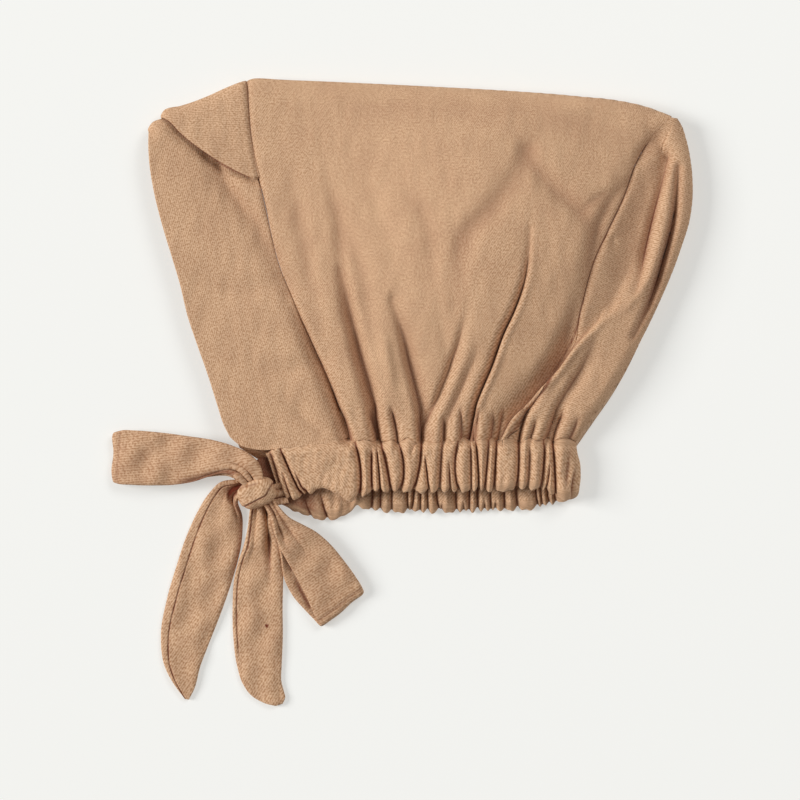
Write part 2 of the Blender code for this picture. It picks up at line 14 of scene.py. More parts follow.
import bpy
import numpy as np
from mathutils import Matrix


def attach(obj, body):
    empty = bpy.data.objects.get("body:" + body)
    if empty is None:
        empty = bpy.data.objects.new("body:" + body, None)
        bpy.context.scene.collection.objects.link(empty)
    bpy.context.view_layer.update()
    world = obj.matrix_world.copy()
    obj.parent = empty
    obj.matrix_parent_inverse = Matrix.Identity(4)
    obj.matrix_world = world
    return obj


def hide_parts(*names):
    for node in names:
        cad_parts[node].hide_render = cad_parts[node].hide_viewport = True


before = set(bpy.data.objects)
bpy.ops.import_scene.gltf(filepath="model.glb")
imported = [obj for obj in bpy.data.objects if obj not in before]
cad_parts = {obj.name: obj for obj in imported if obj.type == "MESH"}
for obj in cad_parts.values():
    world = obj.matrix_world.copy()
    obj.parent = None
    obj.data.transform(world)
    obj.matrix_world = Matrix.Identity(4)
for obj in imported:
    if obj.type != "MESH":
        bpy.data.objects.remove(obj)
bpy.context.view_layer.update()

LOG = logging.getLogger("underscarf_cap")
MM = 0.001

Point = tuple[float, float]
Curve = tuple[Point, ...]

# Heights of the cap, as its solids have them
BAND_HEIGHT = 11.0
CAP_LOFT = 20.0
LOFT_CENTRE = (45.0, 75.0)
LOFT_REACH = (75.0, 80.0)
CREST_HEIGHT = 8.0
NEAR_ROUND = 16.0
FAR_ROUND = 9.0
CLOTH = 1.1
DOUBLE_CLOTH = 2.0
CROSSING_GAP = 0.9

# Plan curves of the cap, as its solids have them: x, y
FRONT_EDGE: Curve = (
    (-95.4, -24.2), (-98.7, -17.6), (-102.3, -6.6), (-107.5, 9.9), (-113.3, 26.4),
    (-118.8, 42.9), (-122.7, 59.4), (-127.6, 75.9), (-132.6, 92.4), (-137.0, 110.0),
    (-139.2, 122.7), (-140.1, 133.7), (-140.2, 144.1),
)
FRONT_SEAM: Curve = (
    (-30.8, -25.6), (-42.1, 9.9), (-58.6, 47.3), (-67.9, 69.3), (-75.1, 99.0),
    (-83.6, 139.2), (-86.4, 171.0),
)
BACK_SEAM: Curve = (
    (56.4, -25.6), (74.0, -2.0), (87.5, 19.3), (93.5, 31.0), (97.5, 48.0),
    (103.0, 68.5), (113.6, 92.4), (121.0, 108.0), (127.5, 126.0), (137.0, 141.5),
    (146.6, 151.5),
)
TOP_EDGE: Curve = (
    (-86.2, 171.8), (-83.0, 173.0), (-78.0, 173.2), (-71.0, 172.7), (-40.4, 171.2),
    (14.6, 168.3), (64.1, 165.3), (86.1, 163.6), (99.8, 162.2), (110.8, 161.2),
    (121.8, 159.5), (132.8, 156.9), (140.0, 154.2), (146.6, 151.5),
)
BACK_EDGE: Curve = (
    (94.4, -25.8), (104.8, -11.6), (114.7, 1.7), (122.9, 14.9), (129.5, 28.1),
    (136.1, 41.2), (142.2, 54.5), (147.7, 67.7), (152.4, 80.9), (156.5, 94.1),
    (158.3, 107.3), (158.3, 117.2), (157.2, 128.2), (154.9, 139.2), (152.6, 146.3),
    (149.8, 151.0),
)
OVERLAP_TOP: Curve = (
    (-133.2, 151.6), (-131.4, 154.9), (-122.9, 157.3), (-114.7, 160.0), (-106.4, 163.4),
    (-98.2, 167.2), (-89.9, 170.5), (-86.9, 171.4),
)
OVERLAP_EDGE: Curve = (
    (-133.2, 151.6), (-129.2, 149.6), (-122.9, 143.2), (-113.2, 135.2), (-106.0, 130.2),
    (-98.5, 125.6), (-90.0, 121.0), (-80.0, 116.8),
)
UNDERLAP_TOP: Curve = (
    (-140.2, 144.1), (-138.1, 147.7), (-129.0, 150.9), (-108.0, 158.6), (-88.0, 166.4),
)
NEAR_HEM: Curve = (
    (-95.4, -24.2), (-91.6, -27.6), (-78.0, -31.2), (-66.0, -29.9), (-46.0, -27.6),
    (-31.6, -25.0),
)
FAR_HEM: Curve = ((-92.0, -30.0), (-76.0, -38.0), (-52.0, -37.0), (-31.6, -35.0))
NEAR_NAPE: Curve = ((-30.8, -25.6), (0.0, -25.9), (50.0, -25.5), (94.4, -25.8))
FAR_NAPE: Curve = ((-31.6, -35.0), (0.0, -34.4), (50.0, -34.0), (94.0, -31.0))

# The gathered casing, from its near left end round the right end to its far left end:
# top x, top y, bottom x, bottom y, z
CASING_ROWS = (
    (-75.8, -31.2, -67.2, -58.6, 10.6),
    (-67.0, -28.8, -58.5, -58.6, 11.0),
    (-46.0, -25.9, -43.0, -52.4, 12.0),
    (-32.0, -23.6, -30.5, -58.9, 13.0),
    (-16.0, -25.0, -18.0, -55.2, 13.8),
    (10.0, -24.6, 8.0, -54.6, 14.4),
    (45.0, -23.8, 45.0, -54.4, 14.4),
    (78.0, -24.8, 78.0, -54.4, 13.8),
    (87.8, -25.0, 89.2, -58.8, 12.2),
    (91.4, -26.0, 94.0, -57.0, 8.4),
    (87.8, -31.6, 87.0, -60.4, 4.4),
    (78.0, -33.0, 78.0, -62.8, 3.0),
    (45.0, -35.0, 45.0, -65.6, 2.8),
    (8.0, -35.4, 8.0, -66.0, 2.8),
    (-10.0, -35.6, -10.0, -65.8, 2.8),
    (-19.0, -35.8, -19.0, -64.8, 2.8),
    (-26.0, -36.0, -25.6, -62.6, 2.8),
    (-34.0, -36.2, -33.4, -68.2, 2.8),
    (-42.0, -36.8, -41.0, -70.4, 2.8),
    (-53.0, -38.0, -51.0, -68.8, 2.9),
    (-69.0, -42.0, -67.0, -61.6, 4.2),
)


# The middle of the bow's knot: x, y, z
KNOT_CENTRE = (-80.4, -55.0, 11.0)


class Held(Enum):
    GATHERED = "gathered"
    FOLDED = "folded"


def smooth(rows: np.ndarray | tuple, at: np.ndarray, lead: int = 2) -> np.ndarray:
    """Reads one smooth curve through table rows.

    Args:
        rows: the table, one row for each point of the curve.
        at: shares of the curve's length, from 0 to 1.
        lead: how many of the first columns measure that length.

    Returns:
        One row of values for each share.
    """
    rows = np.array(rows, float)
    steps = np.linalg.norm(np.diff(rows[:, :lead], axis=0), axis=1)
    knots = np.concatenate([[0.0], np.cumsum(steps)]) / steps.sum()
    slopes = np.gradient(rows, knots, axis=0)
    at = np.clip(np.asarray(at, float), 0.0, 1.0)
    k = np.clip(np.searchsorted(knots, at, side="right") - 1, 0, len(knots) - 2)
    span = (knots[k + 1] - knots[k])[:, None]
    t = ((at - knots[k])[:, None]) / span
    return (
        rows[k] * (1 + 2 * t) * (1 - t) ** 2
        + slopes[k] * span * t * (1 - t) ** 2
        + rows[k + 1] * t**2 * (3 - 2 * t)
        + slopes[k + 1] * span * t**2 * (t - 1)
    )


def beside(curve: np.ndarray | Curve, distance: float) -> np.ndarray:
    """A plan curve moved to its left by a distance."""
    line = smooth(curve, np.linspace(0, 1, 60))
    along = np.gradient(line, axis=0)
    along /= np.linalg.norm(along, axis=1)[:, None]
    return line + distance * np.stack([-along[:, 1], along[:, 0]], axis=1)


def patch(
    sides: tuple[np.ndarray | Curve, ...], u: np.ndarray, v: np.ndarray
) -> np.ndarray:
    """Fills the space between four plan curves.

    Args:
        sides: the bottom and top curves, read by u, then the left and right ones, read by v.
        u: shares across, one for each column.
        v: shares upwards, one for each row.

    Returns:
        Plan points as rows, columns, 2.
    """
    bottom, top, left, right = sides
    low, high = smooth(bottom, u)[None], smooth(top, u)[None]
    start, end = smooth(left, v)[:, None], smooth(right, v)[:, None]
    low_ends, high_ends = smooth(bottom, (0.0, 1.0)), smooth(top, (0.0, 1.0))
    u, v = u[None, :, None], v[:, None, None]
    corners = (1 - v) * ((1 - u) * low_ends[0] + u * low_ends[1])
    corners = corners + v * ((1 - u) * high_ends[0] + u * high_ends[1])
    return (1 - v) * low + v * high + (1 - u) * start + u * end - corners


def distance_to(
    curve: np.ndarray | Curve, x: np.ndarray, y: np.ndarray, samples: int = 240
) -> np.ndarray:
    """How far each plan point is from a plan curve."""
    line = smooth(curve, np.linspace(0, 1, samples))
    away = np.full(x.shape, np.inf)
    for px, py in line:
        away = np.minimum(away, np.hypot(x - px, y - py))
    return away


def turned(distance: np.ndarray, width: float) -> np.ndarray:
    """0 on an outline and 1 inside it, along a quarter circle."""
    inside = np.clip(1 - distance / width, 0.0, 1.0)
    return np.sqrt(1 - inside**2)


def eased(share: np.ndarray) -> np.ndarray:
    """0 to 1 with level ends."""
    share = np.clip(share, 0.0, 1.0)
    return share * share * (3 - 2 * share)


def shares(count: int, length: float, rim: float = 1.2, ends: str = "both") -> np.ndarray:
    """Shares from 0 to 1 with a few close steps at the edges, where the cloth turns.

    Args:
        count: how many even steps lie between the edges.
        length: the real length that the shares cover.
        rim: how wide the close steps are in all.
        ends: "both", "start", "end" or "none".

    Returns:
        The rising shares.
    """
    close = rim / length * np.array([0.0, 0.06, 0.25, 0.55])
    low = close if ends in ("both", "start") else np.zeros(0)
    high = 1 - close[::-1] if ends in ("both", "end") else np.zeros(0)
    first = rim / length if len(low) else 0.0
    last = 1 - rim / length if len(high) else 1.0
    return np.concatenate([low, np.linspace(first, last, count), high])


def wander(
    x: np.ndarray, y: np.ndarray, seed: int, wavelength: float, stretch: float = 1.0
) -> np.ndarray:
    """A smooth random swell of about 1 either way, the same for the same seed.

    Args:
        x: plan x of the points.
        y: plan y of the points.
        seed: which swell it is.
        wavelength: about how far apart its crests are.
        stretch: how much longer its crests are along y.

    Returns:
        A height for each point.
    """
    rng = np.random.default_rng(seed)
    total = np.zeros(np.shape(x))
    for _ in range(9):
        angle = rng.uniform(0, math.pi)
        pitch = wavelength * rng.uniform(0.7, 1.5)
        phase = rng.uniform(0, 2 * math.pi)
        run = x * math.cos(angle) + y / stretch * math.sin(angle)
        total = total + np.sin(2 * math.pi * run / pitch + phase)
    return total / 3.0


@dataclass(frozen=True)
class Fold:
    """A fold that is pressed into the upper half of the cap.

    The line runs from the fold's foot to its head. Widths are one side's, with left and
    right as seen along the line from above, tuck is how far the floor slips under the lip
    on the right, and at_foot and at_head are the shares of the depth at the ends. tone is
    how dark the painted shade along its line is, and shade how dark the painted shade on
    the cloth beside it, as wide as shade_left and shade_right.
    """

    name: str
    line: Curve
    depth: float
    left: float
    right: float
    at_foot: float = 1.0
    at_head: float = 0.0
    lip: float = 0.0
    tuck: float = 0.0
    tone: float = 0.0
    shade: float = 0.0
    shade_left: float = 5.0
    shade_right: float = 1.6

    def strength(self, share: np.ndarray) -> np.ndarray:
        """The share of the depth at each share of the line."""
        rise = self.at_foot + (1 - self.at_foot) * eased(share / 0.35)
        fall = self.at_head + (1 - self.at_head) * eased((1 - share) / 0.5)
        return np.minimum(rise, 1.0) * np.minimum(fall, 1.0)


@dataclass
class Relief:
    """All that the folds do to a set of plan points."""

    x: np.ndarray
    y: np.ndarray
    sink: np.ndarray = field(init=False)
    tone: np.ndarray = field(init=False)
    shade: np.ndarray = field(init=False)
    draw: float = 0.62
    draw_width: float = 3.2

    def __post_init__(self) -> None:
        """Starts with smooth cloth."""
        self.sink = np.zeros_like(self.x)
        self.tone = np.zeros_like(self.x)
        self.shade = np.zeros_like(self.x)

    def press(self, fold: Fold) -> None:
        """Adds one fold, drawing the cloth in towards its line where it is sharp."""
        reach = 3.2 * max(fold.left, fold.right) + 6.0
        line = smooth(fold.line, np.linspace(0, 1, 90))
        low, high = line.min(axis=0) - reach, line.max(axis=0) + reach
        near = (self.x > low[0]) & (self.x < high[0]) & (self.y > low[1]) & (self.y < high[1])
        if not near.any():
            return
        x, y = self.x[near], self.y[near]
        along = np.gradient(line, axis=0)
        along /= np.linalg.norm(along, axis=1)[:, None]
        away = np.hypot(x[:, None] - line[:, 0], y[:, None] - line[:, 1])
        index = away.argmin(axis=1)
        side = np.stack([-along[:, 1], along[:, 0]], axis=1)[index]
        offset = np.stack([x, y], axis=1) - line[index]
        across = (offset * side).sum(axis=1)
        left = across > 0
        at_end = (index == 0) | (index == len(line) - 1)
        away = np.where(at_end, away.min(axis=1), np.abs(across))
        strength = fold.strength(index / (len(line) - 1))
        sharp = min(fold.left, fold.right) < 2.4
        draw = self.draw * strength * np.exp(-((away / self.draw_width) ** 2)) * sharp
        close = away * (1 - draw)
        width = np.where(left, fold.left, fold.right)
        floor = np.exp(-((close / width) ** 2))
        lip_away = np.where(left, -close, close) - 1.9 * fold.right
        lip = fold.lip * np.exp(-((lip_away / (1.1 * fold.right + 0.8)) ** 2))
        self.sink[near] += strength * (fold.depth * floor - lip)
        # Painted shade: a dark line along the fold and a broader dark band beside it, mostly on the flank that faces
        # away from the key light
        line_tone = 1.1 * fold.tone * strength * np.exp(-((close / 0.95) ** 2))
        broad = np.where(left, fold.shade_left, fold.shade_right)
        broad_tone = fold.shade * strength * np.exp(-((close / broad) ** 2))
        self.tone[near] = np.maximum(self.tone[near], line_tone)
        self.shade[near] += broad_tone
        shift = -offset * draw[:, None]
        slip = fold.tuck * strength * np.exp(-((close / (0.9 * width + 0.4)) ** 2))
        shift -= side * slip[:, None]
        self.x[near] = x + shift[:, 0]
        self.y[near] = y + shift[:, 1]


# The long folds of the upper half, as they run from the nape into the crown
FOLDS = (
    Fold("band_soft", ((-62.4, 56.7), (-84.4, 97.9), (-98.2, 114.4), (-106.0, 129.0)), 2.6, 6.0,
        5.0, 0.6, 0.9, shade=0.2, shade_left=6.0, shade_right=5.0),
    Fold("band_under_flap", ((-84.0, 96.0), (-95.0, 113.0), (-101.0, 124.0)), 1.4, 3.0, 3.5, 0.1,
        1.0, tone=0.1),
    Fold("seam_crease", ((-31.6, -24.6), (-34.6, -12.0), (-40.8, 4.0), (-48.0, 20.0), (-54.2,
        34.6), (-62.0, 52.0), (-66.8, 64.0)), 5.4, 4.0, 1.7, 1.0, 0.1, 0.7, 0.8, 0.55, shade=0.3, shade_left=5.0),
    Fold("seam_hollow", ((-34.0, -16.0), (-43.0, 14.0), (-58.0, 42.0)), 2.4, 7.0, 5.0, 0.8, 0.1),
    Fold("band_level", ((-66.8, 61.0), (-89.9, 56.0), (-112.0, 60.5)), 1.0, 6.0, 6.0, 0.6, 0.3),
    Fold("band_low", ((-44.8, -21.5), (-56.9, -11.0), (-65.2, -3.0)), 1.7, 3.4, 4.4, 0.7, 0.2),
    Fold("band_middle", ((-47.0, 16.0), (-62.0, 12.6), (-82.0, 15.0)), 1.3, 5.0, 7.0, 0.8, 0.2),
    Fold("crown_front_faint", ((-44.8, 31.9), (-55.3, 86.9), (-66.0, 140.0)), 1.3, 4.4, 4.0, 0.3,
        0.2, shade=0.14, shade_left=5.0, shade_right=3.0),
    Fold("front_deep_high", ((-29.4, 40.2), (-33.0, 62.2), (-34.6, 90.0), (-42.0, 128.0)), 2.0,
        4.5, 3.6, 0.9, 0.1, shade=0.16, shade_left=5.0, shade_right=2.5),
    Fold("front_deep", ((-12.2, -27.0), (-15.2, -12.0), (-18.6, 3.0), (-23.6, 20.9), (-28.8,
        42.2), (-33.8, 66.0)), 9.0, 4.0, 3.2, 1.0, 0.2, 0.8, 0.3, 0.6, shade=0.6, shade_left=5.0, shade_right=2.0),
    Fold("front_deep_core", ((-11.6, -27.0), (-14.4, -10.0), (-18.0, 4.0)), 2.6, 1.5, 2.2, 1.0,
        0.0, 0.0, 0.0, 0.7),
    Fold("front_faint", ((-17.3, 23.7), (-22.8, 67.7), (-38.7, 108.2)), 1.5, 4.5, 4.0, 0.2, 0.2,
        shade=0.12, shade_left=5.0, shade_right=3.0),
    Fold("front_faint_inner", ((-3.0, 60.0), (-12.0, 96.0), (-26.0, 128.0)), 0.9, 5.0, 5.0, 0.3,
        0.2),
    Fold("middle_deep", ((9.6, -24.6), (8.8, -8.6), (6.0, 4.4), (2.6, 18.2), (-1.2, 34.7), (-6.0,
        50.4)), 6.8, 2.6, 4.4, 1.0, 0.3, 0.0, 0.0, 0.6, shade=0.42, shade_left=3.0, shade_right=4.0),
    Fold("middle_ridge", ((-6.0, -2.0), (-9.0, 18.0), (-14.0, 44.0)), -2.4, 3.4, 3.4, 0.2, 0.1),
    Fold("middle_small", ((-2.0, -25.0), (-4.0, -14.0), (-7.0, -6.0)), 2.8, 1.6, 2.4, 1.0, 0.0,
        0.0, 0.0, 0.5),
    Fold("middle_faint", ((16.7, 50.7), (14.6, 86.9), (-1.9, 119.2)), 1.6, 6.0, 5.0, 0.2, 0.2,
        shade=0.12, shade_left=5.0, shade_right=5.0),
    Fold("middle_faint_low", ((26.0, 4.0), (22.0, 30.0), (17.0, 56.0)), 1.2, 4.5, 4.5, 0.4, 0.1),
    Fold("arch_front", ((29.0, 48.0), (30.0, 67.6), (33.0, 84.2), (48.0, 100.7), (60.0, 117.1),
        (67.5, 132.0)), 2.4, 6.0, 7.0, 0.3, 0.6, shade=0.26, shade_left=5.0, shade_right=6.0),
    Fold("arch_back", ((104.0, 80.0), (102.0, 90.0), (96.0, 99.0), (86.0, 108.0), (76.5, 117.5),
        (67.0, 132.0)), 2.4, 5.0, 6.0, 0.2, 0.6, shade=0.26, shade_left=3.5, shade_right=5.5),
    Fold("seam_wedge", ((100.5, 102.5), (109.0, 108.5), (116.0, 112.0)), 1.2, 2.4, 5.0, 0.7, 0.2,
        shade=0.2, shade_left=2.0, shade_right=5.0),
    Fold("gather_middle", ((10.6, -21.4), (15.6, -9.9), (21.1, 3.6), (28.8, 23.7), (35.5, 51.2)),
        3.6, 2.0, 3.0, 1.0, 0.05, 0.6, 0.0, 0.5, shade=0.16, shade_left=2.5, shade_right=2.0),
    Fold("gather_back", ((22.0, -25.1), (26.0, -10.5), (32.5, 4.7), (38.6, 19.1), (43.1, 33.9)),
        2.2, 2.6, 2.8, 1.0, 0.0, 0.0, 0.0, 0.3, shade=0.14, shade_left=3.0, shade_right=2.0),
    Fold("long_crease", ((33.0, -27.0), (39.8, -3.9), (47.8, 15.4), (53.6, 31.9), (60.0, 45.7),
        (65.6, 61.4), (68.0, 76.0), (69.0, 90.0)), 7.4, 2.0, 1.2, 1.0, 0.15, 1.4, 1.3, 0.95),
    Fold("pocket", ((50.8, -26.1), (56.1, -14.1), (70.6, 3.2), (84.0, 21.9), (91.0, 38.0), (97.4,
        58.7)), 7.0, 3.4, 3.0, 0.5, 0.1, 0.0, 0.0, 0.3, shade=0.45, shade_left=3.0, shade_right=5.0),
    Fold("pocket_lip", ((51.4, -26.7), (58.0, -12.0), (70.0, 0.5), (82.0, 13.0), (92.0, 26.0),
        (103.0, 37.0), (115.0, 47.0)), 5.0, 7.0, 1.4, 1.0, 0.1, 2.6, 2.6, 0.6),
    Fold("crown_top_soft", ((-52.0, 158.0), (20.0, 156.0), (88.0, 150.5), (122.0, 141.0)), 0.7,
        5.0, 7.0, 0.3, 0.6, shade=0.1, shade_left=5.0, shade_right=8.0),
    Fold("seam_patch", ((98.8, 52.7), (103.7, 84.2), (110.0, 100.2), (122.5, 116.3)), 2.6, 2.4,
        4.0, 0.4, 0.4, shade=0.26, shade_left=2.6, shade_right=4.0),
    Fold("crown_bulge", ((84.0, 40.0), (90.5, 62.2), (98.0, 89.6), (111.0, 117.2), (122.0,
        134.0)), -2.0, 18.0, 6.0, 0.3, 0.2),
    Fold("seam_patch_head", ((126.0, 124.0), (133.0, 134.0), (139.0, 141.0)), 2.0, 4.0, 4.0, 0.4,
        0.9, shade=0.15, shade_left=4.0, shade_right=3.0),
    Fold("back_low", ((62.4, -26.2), (64.0, -18.2), (69.5, -7.2), (77.0, 5.4)), 4.4, 2.4, 1.7,
        1.0, 0.0, 0.5, 0.6, 0.6),
    Fold("back_side", ((77.8, -25.1), (80.3, -16.0), (87.6, -2.0), (99.1, 16.7), (107.1, 36.7)),
        3.4, 2.0, 5.0, 1.0, 0.05, 0.0, 0.0, 0.5, shade=0.2, shade_left=2.5, shade_right=3.0),
    Fold("back_side_fine", ((82.5, -25.1), (84.0, -18.0), (90.0, -10.0)), 2.4, 1.6, 1.8, 1.0, 0.0,
        0.0, 0.0, 0.5),
    Fold("back_hollow", ((112.0, 48.0), (122.0, 66.0), (128.0, 90.0), (135.0, 114.0), (141.0,
        130.0)), 4.6, 11.0, 4.4, 0.5, 0.6, shade=0.2, shade_left=8.0, shade_right=5.0),
    Fold("back_ridge", ((122.0, 46.0), (134.0, 62.0), (140.6, 82.0), (145.0, 102.0), (147.0,
        118.0)), -1.6, 2.4, 2.0, 0.4, 0.2),
    Fold("back_edge_crease", ((126.0, 30.7), (136.0, 52.4), (142.8, 74.5), (148.2, 95.6), (150.2,
        113.0), (151.0, 124.0)), 8.4, 2.0, 1.8, 0.3, 0.3, 0.0, 0.0, 0.95, shade=0.8, shade_left=2.8, shade_right=2.4),
    Fold("back_middle_crease", ((128.0, 56.0), (130.8, 68.0), (134.6, 86.0), (138.6, 102.0),
        (142.4, 116.0), (145.6, 129.0)), 6.6, 3.4, 1.8, 0.2, 0.5, 0.0, 0.0, 0.9, shade=0.5, shade_left=2.6, shade_right=1.6),
    Fold("back_corner", ((141.0, 120.0), (143.0, 132.0), (134.0, 144.0)), 2.2, 2.6, 4.0, 0.3, 0.2),
    Fold("back_nick", ((115.5, 76.0), (114.0, 84.2), (119.0, 86.2)), 1.3, 2.0, 2.0, 0.2, 0.2),
)


@dataclass(frozen=True)
class Pleat:
    """A crease across the gathered casing.

    top, middle and bottom are its x at the casing's top edge, middle line and bottom edge.
    start and end are the shares of the casing's width that it runs between.
    """

    top: float
    middle: float
    bottom: float
    depth: float
    width: float
    start: float = -0.1
    end: float = 1.1
    # How dark the painted shade along the crease's line is
    tone: float = 0.7

    def at(self, across: np.ndarray) -> np.ndarray:
        """The crease's x at each share of the casing's width."""
        bend = 4 * self.middle - 2 * self.top - 2 * self.bottom
        straight = self.top + (self.bottom - self.top) * across
        return straight + bend * across * (1 - across)


NEAR_PLEATS = (
    Pleat(-73.6, -69.6, -65.8, 2.6, 1.1),
    Pleat(-71.0, -66.2, -62.0, 1.8, 0.9, 0.45),
    Pleat(-68.4, -62.2, -55.4, 3.2, 1.1, tone=0.9),
    Pleat(-63.0, -59.6, -53.0, 2.2, 1.0, 0.5, tone=0.9),
    Pleat(-27.8, -23.8, -24.4, 3.6, 1.3, tone=0.8),
    Pleat(-17.0, -17.6, -17.2, 3.2, 1.4, 0.15, 1.05, 0.8),
    Pleat(-15.2, -13.8, -12.8, 3.0, 0.9, 0.12),
    Pleat(-13.4, -9.4, -7.0, 3.8, 1.3, tone=0.8),
    Pleat(-3.8, 0.0, -1.9, 3.2, 1.3, -0.1, 1.1, 0.7),
    Pleat(7.6, 2.2, -0.5, 1.8, 1.0, -0.1, 0.25, 0.4),
    Pleat(9.6, 8.8, 5.2, 3.6, 1.2, tone=0.8),
    Pleat(10.6, 12.4, 14.0, 3.0, 0.9, 0.3),
    Pleat(21.6, 20.4, 19.8, 2.6, 1.5, -0.1, 1.1, 0.55),
    Pleat(24.6, 25.0, 25.6, 2.0, 0.9, 0.45),
    Pleat(30.8, 28.2, 30.4, 3.0, 1.3, -0.1, 1.1),
    Pleat(36.6, 37.0, 37.2, 2.8, 1.0, 0.05, 1.1, 0.7),
    Pleat(39.2, 40.8, 41.2, 3.2, 0.9),
    Pleat(46.8, 45.8, 44.4, 2.8, 1.1, -0.1, 1.1, 0.7),
    Pleat(51.2, 50.4, 49.6, 3.8, 1.1),
    Pleat(62.8, 63.2, 62.0, 3.6, 1.3),
    Pleat(69.0, 69.0, 68.0, 2.2, 1.3, 0.1, 1.1, 0.45),
    Pleat(77.2, 77.0, 75.2, 3.4, 1.1),
    Pleat(81.0, 80.4, 78.2, 2.2, 1.0, 0.4, 1.1, 0.6),
    Pleat(81.6, 82.8, 83.4, 3.8, 1.1, tone=0.8),
    Pleat(90.4, 89.6, 87.4, 1.4, 1.8, 0.2, 0.8, 0.4),
    Pleat(94.4, 93.2, 91.4, 2.2, 1.1, 0.5, 1.0, 0.6),
)

FAR_PLEATS = (
    Pleat(-59.0, -56.0, -51.0, 2.0, 1.6, 0.5),
    Pleat(-48.0, -46.0, -42.0, 2.4, 1.4, 0.5),
    Pleat(-17.0, -17.0, -17.6, 2.8, 1.3),
    Pleat(-12.5, -12.5, -12.8, 2.8, 1.1),
    Pleat(-6.4, -6.4, -6.6, 2.4, 0.9),
    Pleat(2.0, 2.0, 2.4, 2.8, 0.9),
    Pleat(6.0, 6.0, 4.4, 2.8, 1.0),
    Pleat(9.3, 9.3, 9.2, 2.4, 0.9),
    Pleat(13.2, 13.2, 13.4, 2.4, 0.9),
    Pleat(17.6, 17.8, 19.6, 2.8, 1.0),
    Pleat(21.4, 21.4, 21.0, 2.6, 1.0, 0.8),
    Pleat(28.8, 28.8, 29.2, 3.0, 1.1),
    Pleat(33.4, 33.4, 33.0, 2.0, 1.0, 0.8),
    Pleat(36.4, 36.4, 36.2, 2.6, 1.0),
    Pleat(40.8, 40.8, 40.8, 3.0, 1.0),
    Pleat(45.0, 45.0, 44.6, 2.4, 0.9, 0.8),
    Pleat(47.8, 47.8, 48.2, 2.8, 0.9),
    Pleat(51.2, 51.2, 50.6, 2.0, 0.9, 0.8),
    Pleat(55.6, 55.6, 55.6, 2.8, 1.2),
    Pleat(62.0, 62.0, 62.8, 3.2, 1.1),
    Pleat(72.4, 72.6, 74.0, 2.6, 1.0),
    Pleat(75.2, 75.4, 76.6, 2.2, 0.9),
    Pleat(78.6, 78.8, 80.4, 2.2, 0.9),
    Pleat(82.4, 82.6, 84.0, 1.8, 1.0),
)


def gathers(foot_y: float = -26.2, middle_x: float = 25.0, fan: float = 0.0065) -> list[Fold]:
    """The short folds that each pleat of the casing sends up into the crown.

    Args:
        foot_y: where the casing begins.
        middle_x: where the folds stand upright.
        fan: how much more they lean for each millimetre from there.

    Returns:
        One fold for each pleat that reaches the casing's top edge.
    """
    folds = []
    for count, pleat in enumerate(NEAR_PLEATS):
        if pleat.start > 0.2 or pleat.top < -40.0:
            continue
        rise = 7.0 + 4.0 * pleat.depth + 3.0 * math.sin(2.4 * count)
        lean = fan * (pleat.top - middle_x)
        line = tuple(
            (pleat.top + lean * share * rise, foot_y + share * rise) for share in (0.0, 0.5, 1.0)
        )
        folds.append(
            Fold(f"gather_{count}", line, 1.25 * pleat.depth, 1.5, 1.4, 1.0, 0.0, 0.4, 0.3, 0.6)
        )
    return folds


def linear(code: str) -> tuple[float, float, float, float]:
    """Turns an sRGB hex value into the linear colour that a shader takes."""
    parts = [int(code[i : i + 2], 16) / 255 for i in (1, 3, 5)]
    turned_linear = [
        part / 12.92 if part <= 0.04045 else ((part + 0.055) / 1.055) ** 2.4 for part in parts
    ]
    return (*turned_linear, 1.0)


def add_node(
    tree: bpy.types.NodeTree,
    kind: str,
    settings: dict[str | int, object] | None = None,
    **links: object,
) -> bpy.types.Node:
    """Adds a node with its settings and links.

    Args:
        tree: the material's node tree.
        kind: the node's type name.
        settings: properties of the node, and inputs whose names are sockets.
        links: input names, with _ for a space, and the output socket that feeds each.

    Returns:
        The new node.
    """
    node = tree.nodes.new(kind)
    for name, value in (settings or {}).items():
        if isinstance(name, int) or name in node.inputs:
            node.inputs[name].default_value = value
        else:
            setattr(node, name, value)
    for name, socket in links.items():
        tree.links.new(socket, node.inputs[name.replace("_", " ")])
    return node


